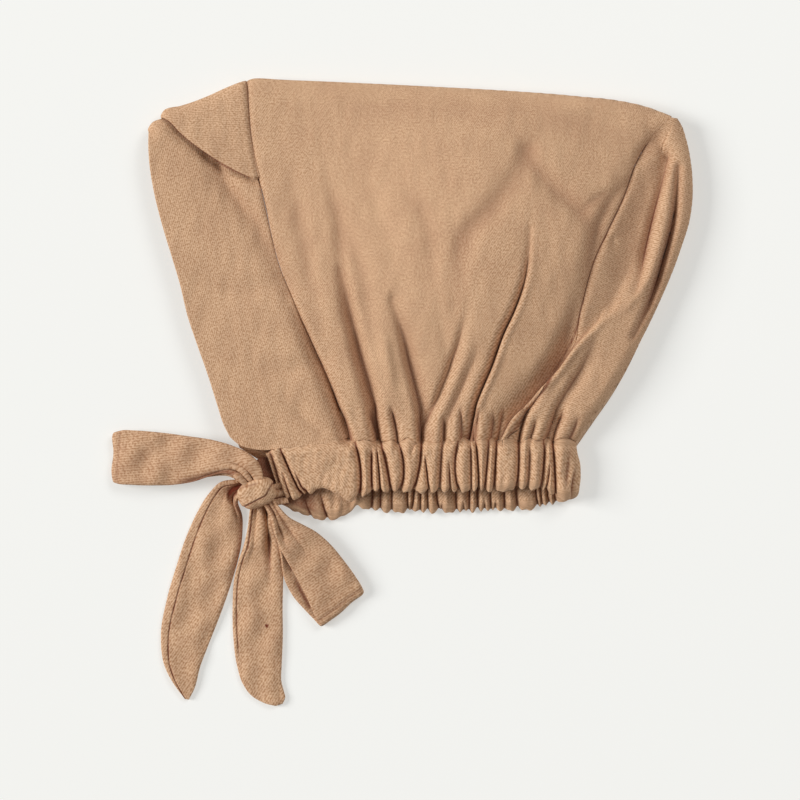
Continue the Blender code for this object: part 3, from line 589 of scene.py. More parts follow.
@dataclass(frozen=True)
class CrepeJersey:
    """Crepe jersey, piece dyed: a matt knit whose fine slanting ribs and grain catch light.

    Sizes are millimetres. The ribs of such cloth are about 0.5 mm apart. They are drawn
    at 1.1 mm, because finer ones don't show in the render.
    """

    name: str
    face: str = "#b08560"
    shade: str = "#6c2a12"
    pale: str = "#dfb995"
    stain: str = "#1e0f0a"
    rib_pitch: float = 1.1
    rib_slant: float = 0.6
    grain: float = 1.05
    relief: float = 0.22
    sheen: float = 0.12
    roughness: float = 0.8

    def make(self) -> bpy.types.Material:
        """Builds the finish as a node material.

        Returns:
            The material, which reads the piece's own weave map and its attribute of painted shade and marks.
        """
        material = bpy.data.materials.new(self.name)
        material.use_nodes = True
        tree = material.node_tree
        shader = tree.nodes["Principled BSDF"]
        place = add_node(tree, "ShaderNodeUVMap", {"uv_map": "weave"})
        # The ribs run aslant over the cloth and waver a little
        slant = add_node(
            tree,
            "ShaderNodeMapping",
            {"Rotation": (0.0, 0.0, self.rib_slant)},
            Vector=place.outputs["UV"],
        )
        ribs = add_node(
            tree,
            "ShaderNodeTexWave",
            {
                "wave_type": "BANDS",
                "bands_direction": "X",
                "Scale": 2 * math.pi / (20 * self.rib_pitch * MM),
                "Distortion": 1.6,
                "Detail": 1.0,
                "Detail Scale": 0.6,
            },
            Vector=slant.outputs["Vector"],
        )
        # The crepe's pebbled grain
        pebbles = add_node(
            tree,
            "ShaderNodeTexNoise",
            {"Scale": 1 / (self.grain * MM), "Detail": 2.0, "Roughness": 0.6},
            Vector=place.outputs["UV"],
        )
        # Faint clouds where the dye took unevenly
        clouds = add_node(
            tree,
            "ShaderNodeTexNoise",
            {"Scale": 1 / (18 * MM), "Detail": 3.0},
            Vector=place.outputs["UV"],
        )
        rise = add_node(
            tree,
            "ShaderNodeMath",
            {"operation": "MULTIPLY_ADD", 1: 0.17},
        )
        tree.links.new(ribs.outputs["Fac"], rise.inputs[0])
        tree.links.new(pebbles.outputs["Fac"], rise.inputs[2])
        spread = add_node(
            tree,
            "ShaderNodeMapRange",
            {"From Min": 0.43, "From Max": 0.7},
            Value=rise.outputs["Value"],
        )
        crests = add_node(
            tree,
            "ShaderNodeMix",
            {"data_type": "RGBA", 6: linear(self.face), 7: linear(self.pale)},
        )
        tree.links.new(spread.outputs["Result"], crests.inputs[0])
        low = add_node(
            tree,
            "ShaderNodeMapRange",
            {"From Min": 0.3, "From Max": 0.75, "To Min": 0.0, "To Max": 0.16},
            Value=clouds.outputs["Fac"],
        )
        clouded = add_node(
            tree,
            "ShaderNodeMix",
            {"data_type": "RGBA", 7: linear(self.shade)},
        )
        tree.links.new(low.outputs["Result"], clouded.inputs[0])
        tree.links.new(crests.outputs[2], clouded.inputs[6])
        # Painted shade: an attribute on each mesh mixes the dark shade colour into folds, pleats, tucks and grooves,
        # and under laps
        painted_shade_and_marks = add_node(tree, "ShaderNodeAttribute", {"attribute_name": "painted_shade_and_marks"})
        painted_shade_mix = add_node(
            tree,
            "ShaderNodeMix",
            {"data_type": "RGBA", 7: linear(self.shade)},
        )
        tree.links.new(painted_shade_and_marks.outputs["Fac"], painted_shade_mix.inputs[0])
        tree.links.new(clouded.outputs[2], painted_shade_mix.inputs[6])
        # A value of that attribute over 1.3 stands for a stain
        mark = add_node(
            tree,
            "ShaderNodeMapRange",
            {"From Min": 1.3, "From Max": 2.0},
            Value=painted_shade_and_marks.outputs["Fac"],
        )
        marked = add_node(
            tree,
            "ShaderNodeMix",
            {"data_type": "RGBA", 7: linear(self.stain)},
        )
        tree.links.new(mark.outputs["Result"], marked.inputs[0])
        tree.links.new(painted_shade_mix.outputs[2], marked.inputs[6])
        tree.links.new(marked.outputs[2], shader.inputs["Base Color"])
        bump = add_node(
            tree,
            "ShaderNodeBump",
            {"Strength": 1.0, "Distance": self.relief * MM},
            Height=rise.outputs["Value"],
        )
        tree.links.new(bump.outputs["Normal"], shader.inputs["Normal"])
        shader.inputs["Roughness"].default_value = self.roughness
        shader.inputs["Sheen Weight"].default_value = self.sheen
        shader.inputs["Sheen Roughness"].default_value = 0.4
        shader.inputs["Sheen Tint"].default_value = linear("#f0dcc4")
        shader.inputs["Specular IOR Level"].default_value = 0.3
        return material


@dataclass
class Cloth:
    """One piece of cloth, given by its middle surface and its thickness on each side.

    middle is rows, columns, 3. over and under are how far the two faces stand off it, and
    flat is each point's place on the cloth as it was cut, all in millimetres.
    """

    name: str
    middle: np.ndarray
    over: np.ndarray
    under: np.ndarray
    flat: np.ndarray
    painted_shade_and_marks: np.ndarray

    def faces(self) -> tuple[np.ndarray, np.ndarray]:
        """The upper and lower face as lists of points in metres."""
        across = np.gradient(self.middle, axis=1)
        along = np.gradient(self.middle, axis=0)
        normal = np.cross(across, along)
        normal /= np.maximum(np.linalg.norm(normal, axis=2), 1e-9)[..., None]
        upper = self.middle + normal * self.over[..., None]
        lower = self.middle - normal * self.under[..., None]
        for face in (upper, lower):
            face[..., 2] = np.maximum(face[..., 2], 0.05)
        return upper.reshape(-1, 3) * MM, lower.reshape(-1, 3) * MM

    def build(self, finish: bpy.types.Material) -> bpy.types.Object:
        """Makes the piece from a grid that is given a wall and then shaped.

        Args:
            finish: the material that it is made of.

        Returns:
            The finished piece, at the origin.
        """
        rows, columns = self.middle.shape[:2]
        bpy.ops.object.select_all(action="DESELECT")
        bpy.ops.mesh.primitive_grid_add(
            x_subdivisions=columns - 1, y_subdivisions=rows - 1, size=1.0
        )
        piece = bpy.context.active_object
        piece.name = self.name
        mesh = piece.data
        mesh.name = self.name
        upper, lower = self.faces()
        mesh.vertices.foreach_set("co", upper.astype(np.float32).ravel())
        self.map_weave(mesh)
        wall = piece.modifiers.new("wall", "SOLIDIFY")
        wall.thickness = MM
        wall.offset = 1.0
        bpy.ops.object.modifier_apply(modifier=wall.name)
        count = rows * columns
        self.shape_wall(mesh, upper, lower, count)
        # Painted shade and marks go to the material as a point attribute
        marks = np.concatenate([self.painted_shade_and_marks.ravel(), self.painted_shade_and_marks.ravel()])
        layer = mesh.attributes.new("painted_shade_and_marks", "FLOAT", "POINT")
        layer.data.foreach_set("value", np.clip(marks, 0, 1).astype(np.float32))
        self.face_outwards(piece)
        mesh.materials.clear()
        mesh.materials.append(finish)
        bpy.ops.object.shade_smooth()
        return piece

    def map_weave(self, mesh: bpy.types.Mesh) -> None:
        """Gives the mesh its place on the flat cloth, in metres, as its UV map."""
        layer = mesh.uv_layers.active
        layer.name = "weave"
        index = np.zeros(len(mesh.loops), np.int32)
        mesh.loops.foreach_get("vertex_index", index)
        flat = self.flat.reshape(-1, 2)[index] * MM
        layer.data.foreach_set("uv", flat.astype(np.float32).ravel())

    def shape_wall(
        self, mesh: bpy.types.Mesh, upper: np.ndarray, lower: np.ndarray, count: int
    ) -> None:
        """Moves the two faces of the wall to their places, each on its own side."""
        placed = np.zeros(len(mesh.vertices) * 3, np.float32)
        mesh.vertices.foreach_get("co", placed)
        placed = placed.reshape(-1, 3)
        towards = ((placed[:count] - placed[count:]) * (upper - lower)).sum(axis=1)
        pair = (upper, lower) if np.median(towards) > 0 else (lower, upper)
        mesh.vertices.foreach_set("co", np.concatenate(pair).astype(np.float32).ravel())
        mesh.update()

    def face_outwards(self, piece: bpy.types.Object) -> None:
        """Turns the faces round if the closed mesh is inside out."""
        mesh = piece.data
        mesh.calc_loop_triangles()
        corners = np.zeros(len(mesh.loop_triangles) * 3, np.int32)
        mesh.loop_triangles.foreach_get("vertices", corners)
        places = np.zeros(len(mesh.vertices) * 3, np.float32)
        mesh.vertices.foreach_get("co", places)
        a, b, c = places.reshape(-1, 3)[corners.reshape(-1, 3)].transpose(1, 0, 2)
        if (a * np.cross(b, c)).sum() < 0:
            bpy.ops.object.mode_set(mode="EDIT")
            bpy.ops.mesh.select_all(action="SELECT")
            bpy.ops.mesh.flip_normals()
            bpy.ops.object.mode_set(mode="OBJECT")


@dataclass
class Surface:
    """A shaped grid of points with the painted shade of its creases, and the same grid without any folds."""

    points: np.ndarray
    painted_shade_and_marks: np.ndarray
    plain: np.ndarray

    def joined(self, other: Surface, axis: int = 0) -> Surface:
        """This grid with another one sewn on behind it."""
        return Surface(
            np.concatenate([self.points, other.points], axis=axis),
            np.concatenate([self.painted_shade_and_marks, other.painted_shade_and_marks], axis=axis),
            np.concatenate([self.plain, other.plain], axis=axis),
        )


def weave_place(
    points: np.ndarray, centre: tuple[float, float, float], turn: float = 0.0
) -> np.ndarray:
    """Lays a grid of points out flat, as the cloth was before it was shaped.

    Args:
        points: rows, columns, 3.
        centre: the point from which the cloth falls away on all sides.
        turn: how far the grain is turned, in radians.

    Returns:
        The place of each point on the flat cloth.
    """
    offset = points[..., :2] - np.array(centre[:2])
    outward = offset / np.maximum(np.linalg.norm(offset, axis=-1), 1.0)[..., None]
    flat = offset + outward * (centre[2] - points[..., 2:])
    cos, sin = math.cos(turn), math.sin(turn)
    return np.stack(
        [flat[..., 0] * cos - flat[..., 1] * sin, flat[..., 0] * sin + flat[..., 1] * cos],
        axis=-1,
    )


def lengths_along(points: np.ndarray, axis: int) -> np.ndarray:
    """How far each point of a grid is along one of its axes, in the points' own unit."""
    steps = np.linalg.norm(np.diff(points, axis=axis), axis=2)
    zero = np.zeros_like(np.take(steps, [0], axis=axis))
    return np.concatenate([zero, np.cumsum(steps, axis=axis)], axis=axis)


def rim(u: np.ndarray, v: np.ndarray, width: float, height: float, half: float) -> np.ndarray:
    """Half the thickness over a grid, rounded off at its four edges.

    Args:
        u: shares across the grid.
        v: shares along it.
        width: the grid's width.
        height: the grid's length.
        half: half of the full thickness.

    Returns:
        Half the thickness at each grid point.
    """
    across = np.minimum(u, 1 - u)[None, :] * width
    along = np.minimum(v, 1 - v)[:, None] * height
    edge = np.minimum(across, along)
    return half * (0.12 + 0.88 * turned(edge, 1.2 * half))


@dataclass
class Panels:
    """The crown, the back panel and the two front bands of the cap."""

    deepest: float = 9.5
    seam_depth: float = 1.3
    seam_width: float = 1.5
    outline: np.ndarray = field(init=False)
    far_front: np.ndarray = field(init=False)
    far_back: np.ndarray = field(init=False)
    far_back_edge: np.ndarray = field(init=False)

    def __post_init__(self) -> None:
        """Works out the curves of the far side from the near ones."""
        self.outline = np.concatenate([OVERLAP_TOP[:-1], TOP_EDGE[:-1], BACK_EDGE[::-1]])
        self.far_front = self.shifted(FRONT_SEAM, 0.0, -12.0)
        self.far_back = self.shifted(BACK_SEAM, 0.0, -12.0)
        self.far_back_edge = self.shifted(BACK_EDGE, 0.0, -4.8)

    @staticmethod
    def shifted(curve: Curve, shift_x: float, low_shift: float) -> np.ndarray:
        """A plan curve moved sideways, with its low end moved down to the far hem."""
        moved = np.array(curve, float) + (shift_x, 0.0)
        fade = np.clip((40.0 - moved[:, 1]) / 62.5, 0.0, 1.0)
        moved[:, 1] += low_shift * fade
        return moved

    @staticmethod
    def cut(curve: Curve, cut_x: float, after: bool) -> np.ndarray:
        """The stretch of a plan curve on one side of an x, ending on it."""
        line = smooth(curve, np.linspace(0, 1, 60))
        kept = line[line[:, 0] > cut_x] if after else line[line[:, 0] < cut_x]
        end = np.array([[cut_x, np.interp(cut_x, line[:, 0], line[:, 1])]])
        return np.concatenate([end, kept]) if after else np.concatenate([kept, end])

    @staticmethod
    def crest(x: np.ndarray) -> np.ndarray:
        """Height of the turned outline, lower towards the face opening."""
        return CREST_HEIGHT - 2.0 * np.clip((-60.0 - x) / 80.0, 0.0, 1.0)

    def open_height(self, x: np.ndarray, y: np.ndarray) -> np.ndarray:
        """Height of the smooth upper half before its outline is turned over."""
        across = ((x - LOFT_CENTRE[0]) / LOFT_REACH[0]) ** 2
        along = ((y - LOFT_CENTRE[1]) / LOFT_REACH[1]) ** 2
        return BAND_HEIGHT + CAP_LOFT * np.exp(-across - along)

    def upper(
        self,
        plan: np.ndarray,
        turned_at: np.ndarray,
        drop: np.ndarray | float = 0.0,
        width: float = NEAR_ROUND,
        folded: bool = True,
    ) -> Surface:
        """Raises plan points to the upper half and presses the folds into them.

        Args:
            plan: rows, columns, 2.
            turned_at: the outline over which the cloth turns.
            drop: how far the cloth lies lower, where another piece covers it.
            width: how wide the turned edge is, before it narrows along the back edge.
            folded: whether the long folds run through it.

        Returns:
            The raised grid.
        """
        x, y = plan[..., 0].copy(), plan[..., 1].copy()
        away = distance_to(turned_at, x, y)
        relief = Relief(x.copy(), y.copy())
        for fold in (*FOLDS, *gathers()) if folded else ():
            relief.press(fold)
        # The edge at the back of the head is folded more sharply than the one over the top
        width = width - 10.0 * eased((x - 70.0) / 35.0) * (width > 12.0)
        inside = turned(away, width)
        near_nape = np.exp(-(((y + 26.0) / 30.0) ** 2)) * eased((x + 34.0) / 8.0)
        swell = 0.2 * wander(x, y, 5, 34.0, 1.8) + 0.12 * wander(x, y, 6, 9.0, 2.5)
        swell += near_nape * 0.45 * wander(x, y, 7, 9.0, 5.0)
        sink = np.where(
            relief.sink > 0, self.deepest * np.tanh(relief.sink / self.deepest), relief.sink
        )
        open_z = self.open_height(x, y) + swell - sink - drop
        crest = self.crest(x)
        z = crest + (open_z - crest) * inside
        keep = inside[..., None]
        moved = np.stack([relief.x, relief.y], axis=-1)
        moved = plan * (1 - keep) + moved * keep
        plain = crest + (self.open_height(x, y) - crest) * inside
        # The folds' lines and the cloth beside them carry painted shade
        return Surface(
            np.concatenate([moved, z[..., None]], axis=-1),
            np.maximum(relief.tone, 0.55 * np.tanh(relief.shade / 0.55)),
            np.concatenate([plan, plain[..., None]], axis=-1),
        )

    def lower(
        self, plan: np.ndarray, turned_at: np.ndarray, floor: float, width: float = FAR_ROUND
    ) -> Surface:
        """Lays plan points on the far side, turned up at the outline."""
        x, y = plan[..., 0], plan[..., 1]
        inside = turned(distance_to(turned_at, x, y), width)
        crest = self.crest(x)
        swell = 0.22 * (1 + wander(x, y, 8, 26.0, 1.6)) * inside
        z = crest + (floor - crest) * inside + np.maximum(swell, 0.0)
        points = np.concatenate([plan, z[..., None]], axis=-1)
        return Surface(points, np.zeros_like(x), points)

    def nape_profile(self, y: float = -25.4) -> np.ndarray:
        """The gathered edge of the upper half as x and height, for the casing to meet."""
        x = np.linspace(-80.0, 100.0, 900)
        hem = np.array(NEAR_HEM)
        low = np.where(x < NEAR_HEM[-1][0], np.interp(x, hem[:, 0], hem[:, 1]), y)
        row = np.stack([x, low], axis=-1)[None]
        points = self.upper(row, self.outline).points[0]
        points[:, 2] += 0.5 * (DOUBLE_CLOTH - CLOTH) * (points[:, 0] < NEAR_HEM[-1][0])
        return points[np.argsort(points[:, 0])][:, (0, 2)]

    def seam_sunk(
        self, cloth: Surface, seam: np.ndarray | Curve, ends: Point, faint: Point | None = None
    ) -> None:
        """Rolls the cloth down into a seam, with the small puckers of its stitches.

        Args:
            cloth: the panel, which is changed.
            seam: the plan curve that it is sewn along.
            ends: the lowest and highest y at which the seam shows.
            faint: a stretch of y between them where it hardly does.
        """
        points, painted_shade_and_marks = cloth.points, cloth.painted_shade_and_marks
        x, y = points[..., 0], points[..., 1]
        away = distance_to(seam, x, y, 400)
        fade = eased((y - ends[0]) / 8.0) * eased((ends[1] - y) / 8.0)
        if faint:
            fade = fade * (1 - 0.75 * eased((y - faint[0]) / 20.0) * eased((faint[1] - y) / 20.0))
        roll = np.exp(-((away / self.seam_width) ** 2)) * fade
        pucker = np.sin(2 * math.pi * (y + 0.3 * x) / 3.4 + wander(x, y, 9, 16.0))
        points[..., 2] -= self.seam_depth * roll
        points[..., 2] -= 0.07 * pucker * np.exp(-((away / 3.4) ** 2)) * fade
        dark = np.where(x > 0, 0.85, 0.55) * np.exp(-((away / 0.7) ** 2))
        painted_shade_and_marks[...] = np.maximum(painted_shade_and_marks, dark * fade)

    def nape_sunk(self, points: np.ndarray, low_y: float) -> None:
        """Rolls the gathered lower edge down onto the casing and lets it run unevenly."""
        x, y = points[..., 0], points[..., 1].copy()
        points[..., 2] -= 0.3 * np.exp(-(((y - low_y) / 1.3) ** 2))
        pulled = 1.1 * wander(x, np.zeros_like(x), 14, 8.0)
        for pleat in NEAR_PLEATS:
            if pleat.start < 0.2:
                pulled -= 0.42 * pleat.depth * np.exp(-(((x - pleat.top) / 1.4) ** 2))
        on_near = points[..., 2] > 6.0
        points[..., 1] += pulled * np.exp(-(((y - low_y) / 3.0) ** 2)) * on_near

    @staticmethod
    def whole(name: str, cloth: Surface, half: np.ndarray, turn: float = 0.0) -> Cloth:
        """A panel from its middle surface, with the cloth as thick on both sides."""
        flat = weave_place(cloth.plain, (*LOFT_CENTRE, BAND_HEIGHT + CAP_LOFT), turn)
        return Cloth(name, cloth.points, half, half, flat, cloth.painted_shade_and_marks)

    def crown(self) -> Cloth:
        """The panel over the head from ear to ear, turned over at the top edge."""
        u = shares(150, 200.0)
        near_v = np.concatenate([shares(148, 195.0, ends="start")[:-1] * 0.93,
            0.93 + 0.07 * np.linspace(0, 1, 18) ** 0.8])
        far_v = 1 - np.linspace(0, 1, 26) ** 1.7
        near = patch(
            (
                self.cut(NEAR_NAPE, 56.4, False),
                TOP_EDGE,
                beside(FRONT_SEAM, -0.1),
                beside(BACK_SEAM, 0.1),
            ),
            u,
            near_v,
        )
        far = patch(
            (
                self.cut(FAR_NAPE, 58.0, False),
                TOP_EDGE,
                beside(self.far_front, -0.4),
                beside(self.far_back, 0.4),
            ),
            u,
            far_v[1:],
        )
        lapped = 0.7 * eased((near[..., 1] - 135.0) / 5.0)
        near[..., 0] += lapped * eased((u - 0.9) / 0.1)
        upper = self.upper(near, self.outline)
        self.seam_sunk(upper, FRONT_SEAM, (-40.0, 185.0), (10.0, 104.0))
        self.seam_sunk(upper, BACK_SEAM, (-30.0, 141.0))
        self.nape_sunk(upper.points, -25.9)
        cloth = upper.joined(self.lower(far, self.outline, 0.5 * CLOTH))
        v = np.linspace(0, 1, len(cloth.points))
        half = rim(u, v, 200.0, 390.0, 0.5 * CLOTH)
        return self.whole("crown_cloth", cloth, half)

    def back(self) -> Cloth:
        """The tongue-shaped panel at the back of the head, turned over at the back edge."""
        u_near = np.concatenate([shares(34, 42.0, ends="start") * 0.8, 0.8 + 0.2 * np.linspace(0,
            1, 12)[1:] ** 0.8])
        u_far = 1 - np.linspace(0, 1, 16)[1:] ** 1.6
        v = 0.998 * shares(150, 190.0, ends="both")
        top = np.array([BACK_SEAM[-1], BACK_EDGE[-1]])
        near = patch(
            (self.cut(NEAR_NAPE, 56.5, True), top, beside(BACK_SEAM, -0.1), BACK_EDGE), u_near, v
        )
        far = patch(
            (
                self.cut(FAR_NAPE, 58.7, True),
                top,
                beside(self.far_back, -0.4),
                self.far_back_edge,
            ),
            u_far,
            v,
        )
        upper = self.upper(near, self.outline)
        self.seam_sunk(upper, BACK_SEAM, (-30.0, 141.0))
        self.nape_sunk(upper.points, -25.8)
        cloth = upper.joined(self.lower(far, self.outline, 0.5 * CLOTH), axis=1)
        u = np.linspace(0, 1, cloth.points.shape[1])
        half = rim(u, v, 110.0, 190.0, 0.5 * CLOTH)
        return self.whole("back_cloth", cloth, half, 0.5)

    def near_band(self) -> Cloth:
        """The upper side's band, whose top end is tucked under the other side's band."""
        u = shares(58, 68.0, rim=1.6)
        near_v = np.concatenate([shares(150, 185.0, ends="start")[:-1] * 0.96,
            0.96 + 0.04 * np.linspace(0, 1, 12)])
        seam = beside(np.array(FRONT_SEAM[:-1] + (UNDERLAP_TOP[-1],)), 0.1)
        plan = patch((NEAR_HEM, UNDERLAP_TOP, FRONT_EDGE, seam), u, near_v)
        x, y = plan[..., 0], plan[..., 1]
        line = smooth(OVERLAP_EDGE, np.linspace(0, 1, 60))
        from_flap = distance_to(OVERLAP_EDGE, x, y)
        covered = y > np.interp(x, line[:, 0], line[:, 1])
        reach = np.where(covered, 0.0, from_flap)
        drop = (DOUBLE_CLOTH + CROSSING_GAP + 0.3) * np.clip(1.2 - reach / 5.0, 0.0, 1.0)
        upper = self.upper(plan, UNDERLAP_TOP, drop, 9.0)
        self.seam_sunk(upper, FRONT_SEAM, (-40.0, 116.0), (10.0, 104.0))
        hem = np.exp(-((distance_to(NEAR_HEM, x, y) / 5.0) ** 2)) * eased((-66.0 - x) / 8.0)
        upper.points[..., 2] -= 1.5 * hem
        # Painted shadow: a thin dark line on this band just below the free edge of the crossing band
        shade = 0.9 * np.exp(-((from_flap / 0.9) ** 2)) * (x < -84)
        upper.painted_shade_and_marks = np.maximum(upper.painted_shade_and_marks, shade)
        floor = DOUBLE_CLOTH * 1.5 + CROSSING_GAP
        tuck = self.lower(plan[-9:-1][::-1], UNDERLAP_TOP, floor, 6.0)
        cloth = upper.joined(tuck)
        v = np.linspace(0, 1, len(cloth.points))
        half = rim(u, v, 68.0, 190.0, 0.5 * DOUBLE_CLOTH)
        return self.whole("band_near_cloth", cloth, half, -0.35)

    def far_band(self) -> Cloth:
        """The lower side's band, which turns over the top and crosses over the upper one."""
        u = shares(58, 62.0, rim=1.6)
        far_v = np.linspace(0, 1, 60) ** 0.75
        flap_v = 0.985 * np.linspace(0, 1, 50)[1:] ** 1.25
        far_edge = np.concatenate([self.shifted(FRONT_EDGE[:-1], 5.0, -6.0), [OVERLAP_TOP[0]]])
        far = patch(
            (FAR_HEM, OVERLAP_TOP, far_edge, beside(self.far_front, 0.4)), u, far_v
        )
        tip = np.array([OVERLAP_EDGE[-1], (-79.2, 117.0)])
        flap_seam = beside(np.array([OVERLAP_TOP[-1], (-84.4, 142.0), (-79.2, 117.0)]), 0.9)
        flap = patch((OVERLAP_TOP, tip, OVERLAP_EDGE, flap_seam), u, flap_v)
        upper = self.upper(flap, OVERLAP_TOP, 0.0, 10.0, folded=False)
        self.lift_edge(upper.points)
        self.seam_sunk(upper, FRONT_SEAM, (100.0, 185.0))
        cloth = self.lower(far, OVERLAP_TOP, 0.5 * DOUBLE_CLOTH).joined(upper)
        v = np.linspace(0, 1, len(cloth.points))
        half = rim(u, v, 62.0, 240.0, 0.5 * DOUBLE_CLOTH)
        return self.whole("band_far_cloth", cloth, half, 0.9)

    @staticmethod
    def lift_edge(points: np.ndarray) -> None:
        """Curls the crossing band's free edge up where it stands off the band below."""
        x, y = points[..., 0], points[..., 1]
        away = distance_to(OVERLAP_EDGE, x, y)
        middle = np.exp(-(((x + 106.0) / 11.0) ** 2)) + 0.5 * np.exp(-(((x + 91.0) / 4.0) ** 2))
        points[..., 2] += (0.4 + 1.3 * middle) * np.exp(-((away / 7.0) ** 2))

    def build(self, finish: bpy.types.Material) -> list[bpy.types.Object]:
        """Builds the four panels, each standing for its solid.

        Args:
            finish: the jersey that they are cut from.

        Returns:
            The pieces.
        """
        jobs = (
            (self.crown(), "crown_panel", (0.24, 0.40), Held.GATHERED),
            (self.back(), "back_panel", (0.095, 0.19), Held.GATHERED),
            (self.near_band(), "front_band_near", (0.075, 0.2), Held.FOLDED),
            (self.far_band(), "front_band_far", (0.065, 0.24), Held.FOLDED),
        )
        return [dress(cloth, node, finish) for cloth, node, flat, held in jobs]


def dress(
    cloth: Cloth,
    node: str,
    finish: bpy.types.Material,
) -> bpy.types.Object:
    """Builds a piece of cloth and ties it to the solid that it stands for.

    Args:
        cloth: the piece.
        node: the solid's name.
        finish: what it is made of.

    Returns:
        The piece.
    """
    piece = cloth.build(finish)
    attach(piece, "root")
    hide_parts(node)
    LOG.info("%s: %d faces", piece.name, len(piece.data.polygons))
    return piece


@dataclass
class Casing:
    """The gathered channel round the nape, with its elastic drawn up inside."""

    nape: np.ndarray
    near_columns: int = 700
    far_columns: int = 300
    rows: int = 34
    width: float = 31.0
    puff: float = 2.6
    turn_x: float = 91.0
    joined: float = 0.24
    hidden: float = 0.05

    def build(self, finish: bpy.types.Material) -> bpy.types.Object:
        """Builds the casing as one strip from its near end to its far end.

        Args:
            finish: the jersey that it is made of.

        Returns:
            The piece.
        """
        near_s = np.linspace(0, 0.52, self.near_columns)
        s = np.concatenate([near_s, np.linspace(0.52, 1, self.far_columns + 1)[1:]])
        t = shares(self.rows, self.width, rim=2.0)
        rows = smooth(CASING_ROWS, s, lead=5)
        top = rows[:, (0, 1, 4)]
        bottom = rows[:, (2, 3, 4)].copy()
        on_near = s < 0.5
        bottom[:, 2] -= np.where(on_near, 2.2, 0.0) * eased((self.turn_x - rows[:, 0]) / 14.0)
        across = t[:, None, None]
        middle = top[None] * (1 - across) + bottom[None] * across
        # The right end is rounded: it stands out most in the middle of the casing's width
        middle[..., 0] += 2.6 * np.sin(math.pi * t)[:, None] * eased((rows[:, 0] - 84.0) / 9.0)
        forward = np.stack([np.gradient(rows[:, 0]), np.gradient(rows[:, 4])], axis=1)
        forward /= np.linalg.norm(forward, axis=1)[:, None]
        turn = np.argmax(rows[:, 0])
        near_part = np.arange(len(s)) <= turn
        near_sink, near_tone, near_edge = self.creases(middle, t, NEAR_PLEATS, near_part)
        far_sink, far_tone, far_edge = self.creases(middle, t, FAR_PLEATS, ~near_part)
        hump = turned(np.minimum(t, 1 - t)[:, None] * self.width, 4.0)
        ends = eased(np.minimum(s, 1 - s) / 0.012)[None, :]
        fluted = np.where(near_part, eased((rows[:, 0] + 30.0) / 8.0), 1.0)
        swell = 0.3 * wander(middle[..., 0], middle[..., 1], 11, 6.0, 5.0) * fluted
        swell += 0.5 * wander(middle[..., 0], middle[..., 1], 12, 20.0) * (1 - fluted)
        swell += 0.12 * wander(middle[..., 0], middle[..., 1], 15, 4.0, 1.6)
        ends = ends * (1 - 0.55 * np.exp(-(((rows[:, 0] - 96.0) / 5.0) ** 2)))[None, :]
        over = (0.35 + (self.puff + swell) * hump) * (0.3 + 0.7 * ends) - near_sink
        under = (0.35 + (self.puff - 0.6 + swell) * hump) * (0.3 + 0.7 * ends) - far_sink
        over = np.maximum(over, -1.4)
        under = np.maximum(under, -1.2)
        met = self.crown_height(middle[..., 0]) - middle[..., 2] - 0.2
        # It starts under the gathered crown, but over the hem of the front band
        over_hem = eased((-31.0 - middle[..., 0]) / 4.0)
        met -= (0.9 - 1.3 * over_hem) * np.clip(1 - t / self.hidden, 0, 1)[:, None]
        met += 0.35 * over_hem
        join = (1 - eased(t / self.joined))[:, None] * near_part
        join = join * eased((middle[..., 0] + 74.0) / 8.0) * eased((97.0 - middle[..., 0]) / 5.0)
        over = over * (1 - join) + met * join
        thin = over + under < 0.4
        under = np.where(thin, 0.4 - over, under)
        scallop = near_edge * near_part + far_edge * ~near_part
        ragged = 0.5 * wander(middle[-1:, :, 0], np.zeros((1, len(s))), 13, 5.0)
        middle[..., 1] += (2.1 * scallop + ragged) * eased((t - 0.78) / 0.22)[:, None]
        stepped = 1.2 * wander(middle[:1, :, 0], np.zeros((1, len(s))), 14, 8.0)
        middle[..., 1] -= (0.8 * scallop - stepped) * eased((0.16 - t) / 0.16)[:, None]
        # Painted shade along the pleats' creases
        painted_shade_and_marks = np.maximum(near_tone, far_tone)
        # Behind the bow hardly any light gets between the two halves
        behind = 0.6 * eased((-43.0 - middle[..., 0]) / 9.0) * (1 - eased((t - 0.84) / 0.1))[:,
            None]
        painted_shade_and_marks = np.maximum(painted_shade_and_marks, np.where(near_part, 0.0, behind))
        flat = np.stack(
            [lengths_along(middle, 1), np.repeat(t[:, None] * self.width, len(s), 1)],
            axis=-1,
        )
        flat = 0.8 * flat
        middle[..., 2] = np.maximum(middle[..., 2], 2.4)
        cloth = Cloth(
            "casing_cloth", middle[::-1], over[::-1], under[::-1], flat[::-1], painted_shade_and_marks[::-1]
        )
        return dress(cloth, "nape_casing", finish)

    def crown_height(self, x: np.ndarray) -> np.ndarray:
        """How high the gathered edge of the crown lies at each x."""
        return np.interp(x, self.nape[:, 0], self.nape[:, 1])

    def creases(
        self, middle: np.ndarray, t: np.ndarray, pleats: tuple[Pleat, ...], part: np.ndarray
    ) -> tuple[np.ndarray, np.ndarray, np.ndarray]:
        """Presses a row of creases into one half of the casing.

        Args:
            middle: the casing's points.
            t: shares of its width.
            pleats: the creases.
            part: which columns belong to this half.

        Returns:
            How deep the cloth sinks, how dark the painted shade along each crease is, and how far each edge is drawn
            in.
        """
        sink = np.zeros(middle.shape[:2])
        tone = np.zeros(middle.shape[:2])
        edge = np.zeros(middle.shape[1])
        x = middle[..., 0]
        for pleat in pleats:
            length = eased((t - pleat.start) / 0.4 + 0.3) * eased((pleat.end - t) / 0.3 + 0.3)
            away = np.abs(x - pleat.at(t)[:, None])
            valley = np.exp(-((away / (1.2 * pleat.width)) ** 1.25)) * length[:, None]
            sink = np.maximum(sink, 1.35 * pleat.depth * valley)
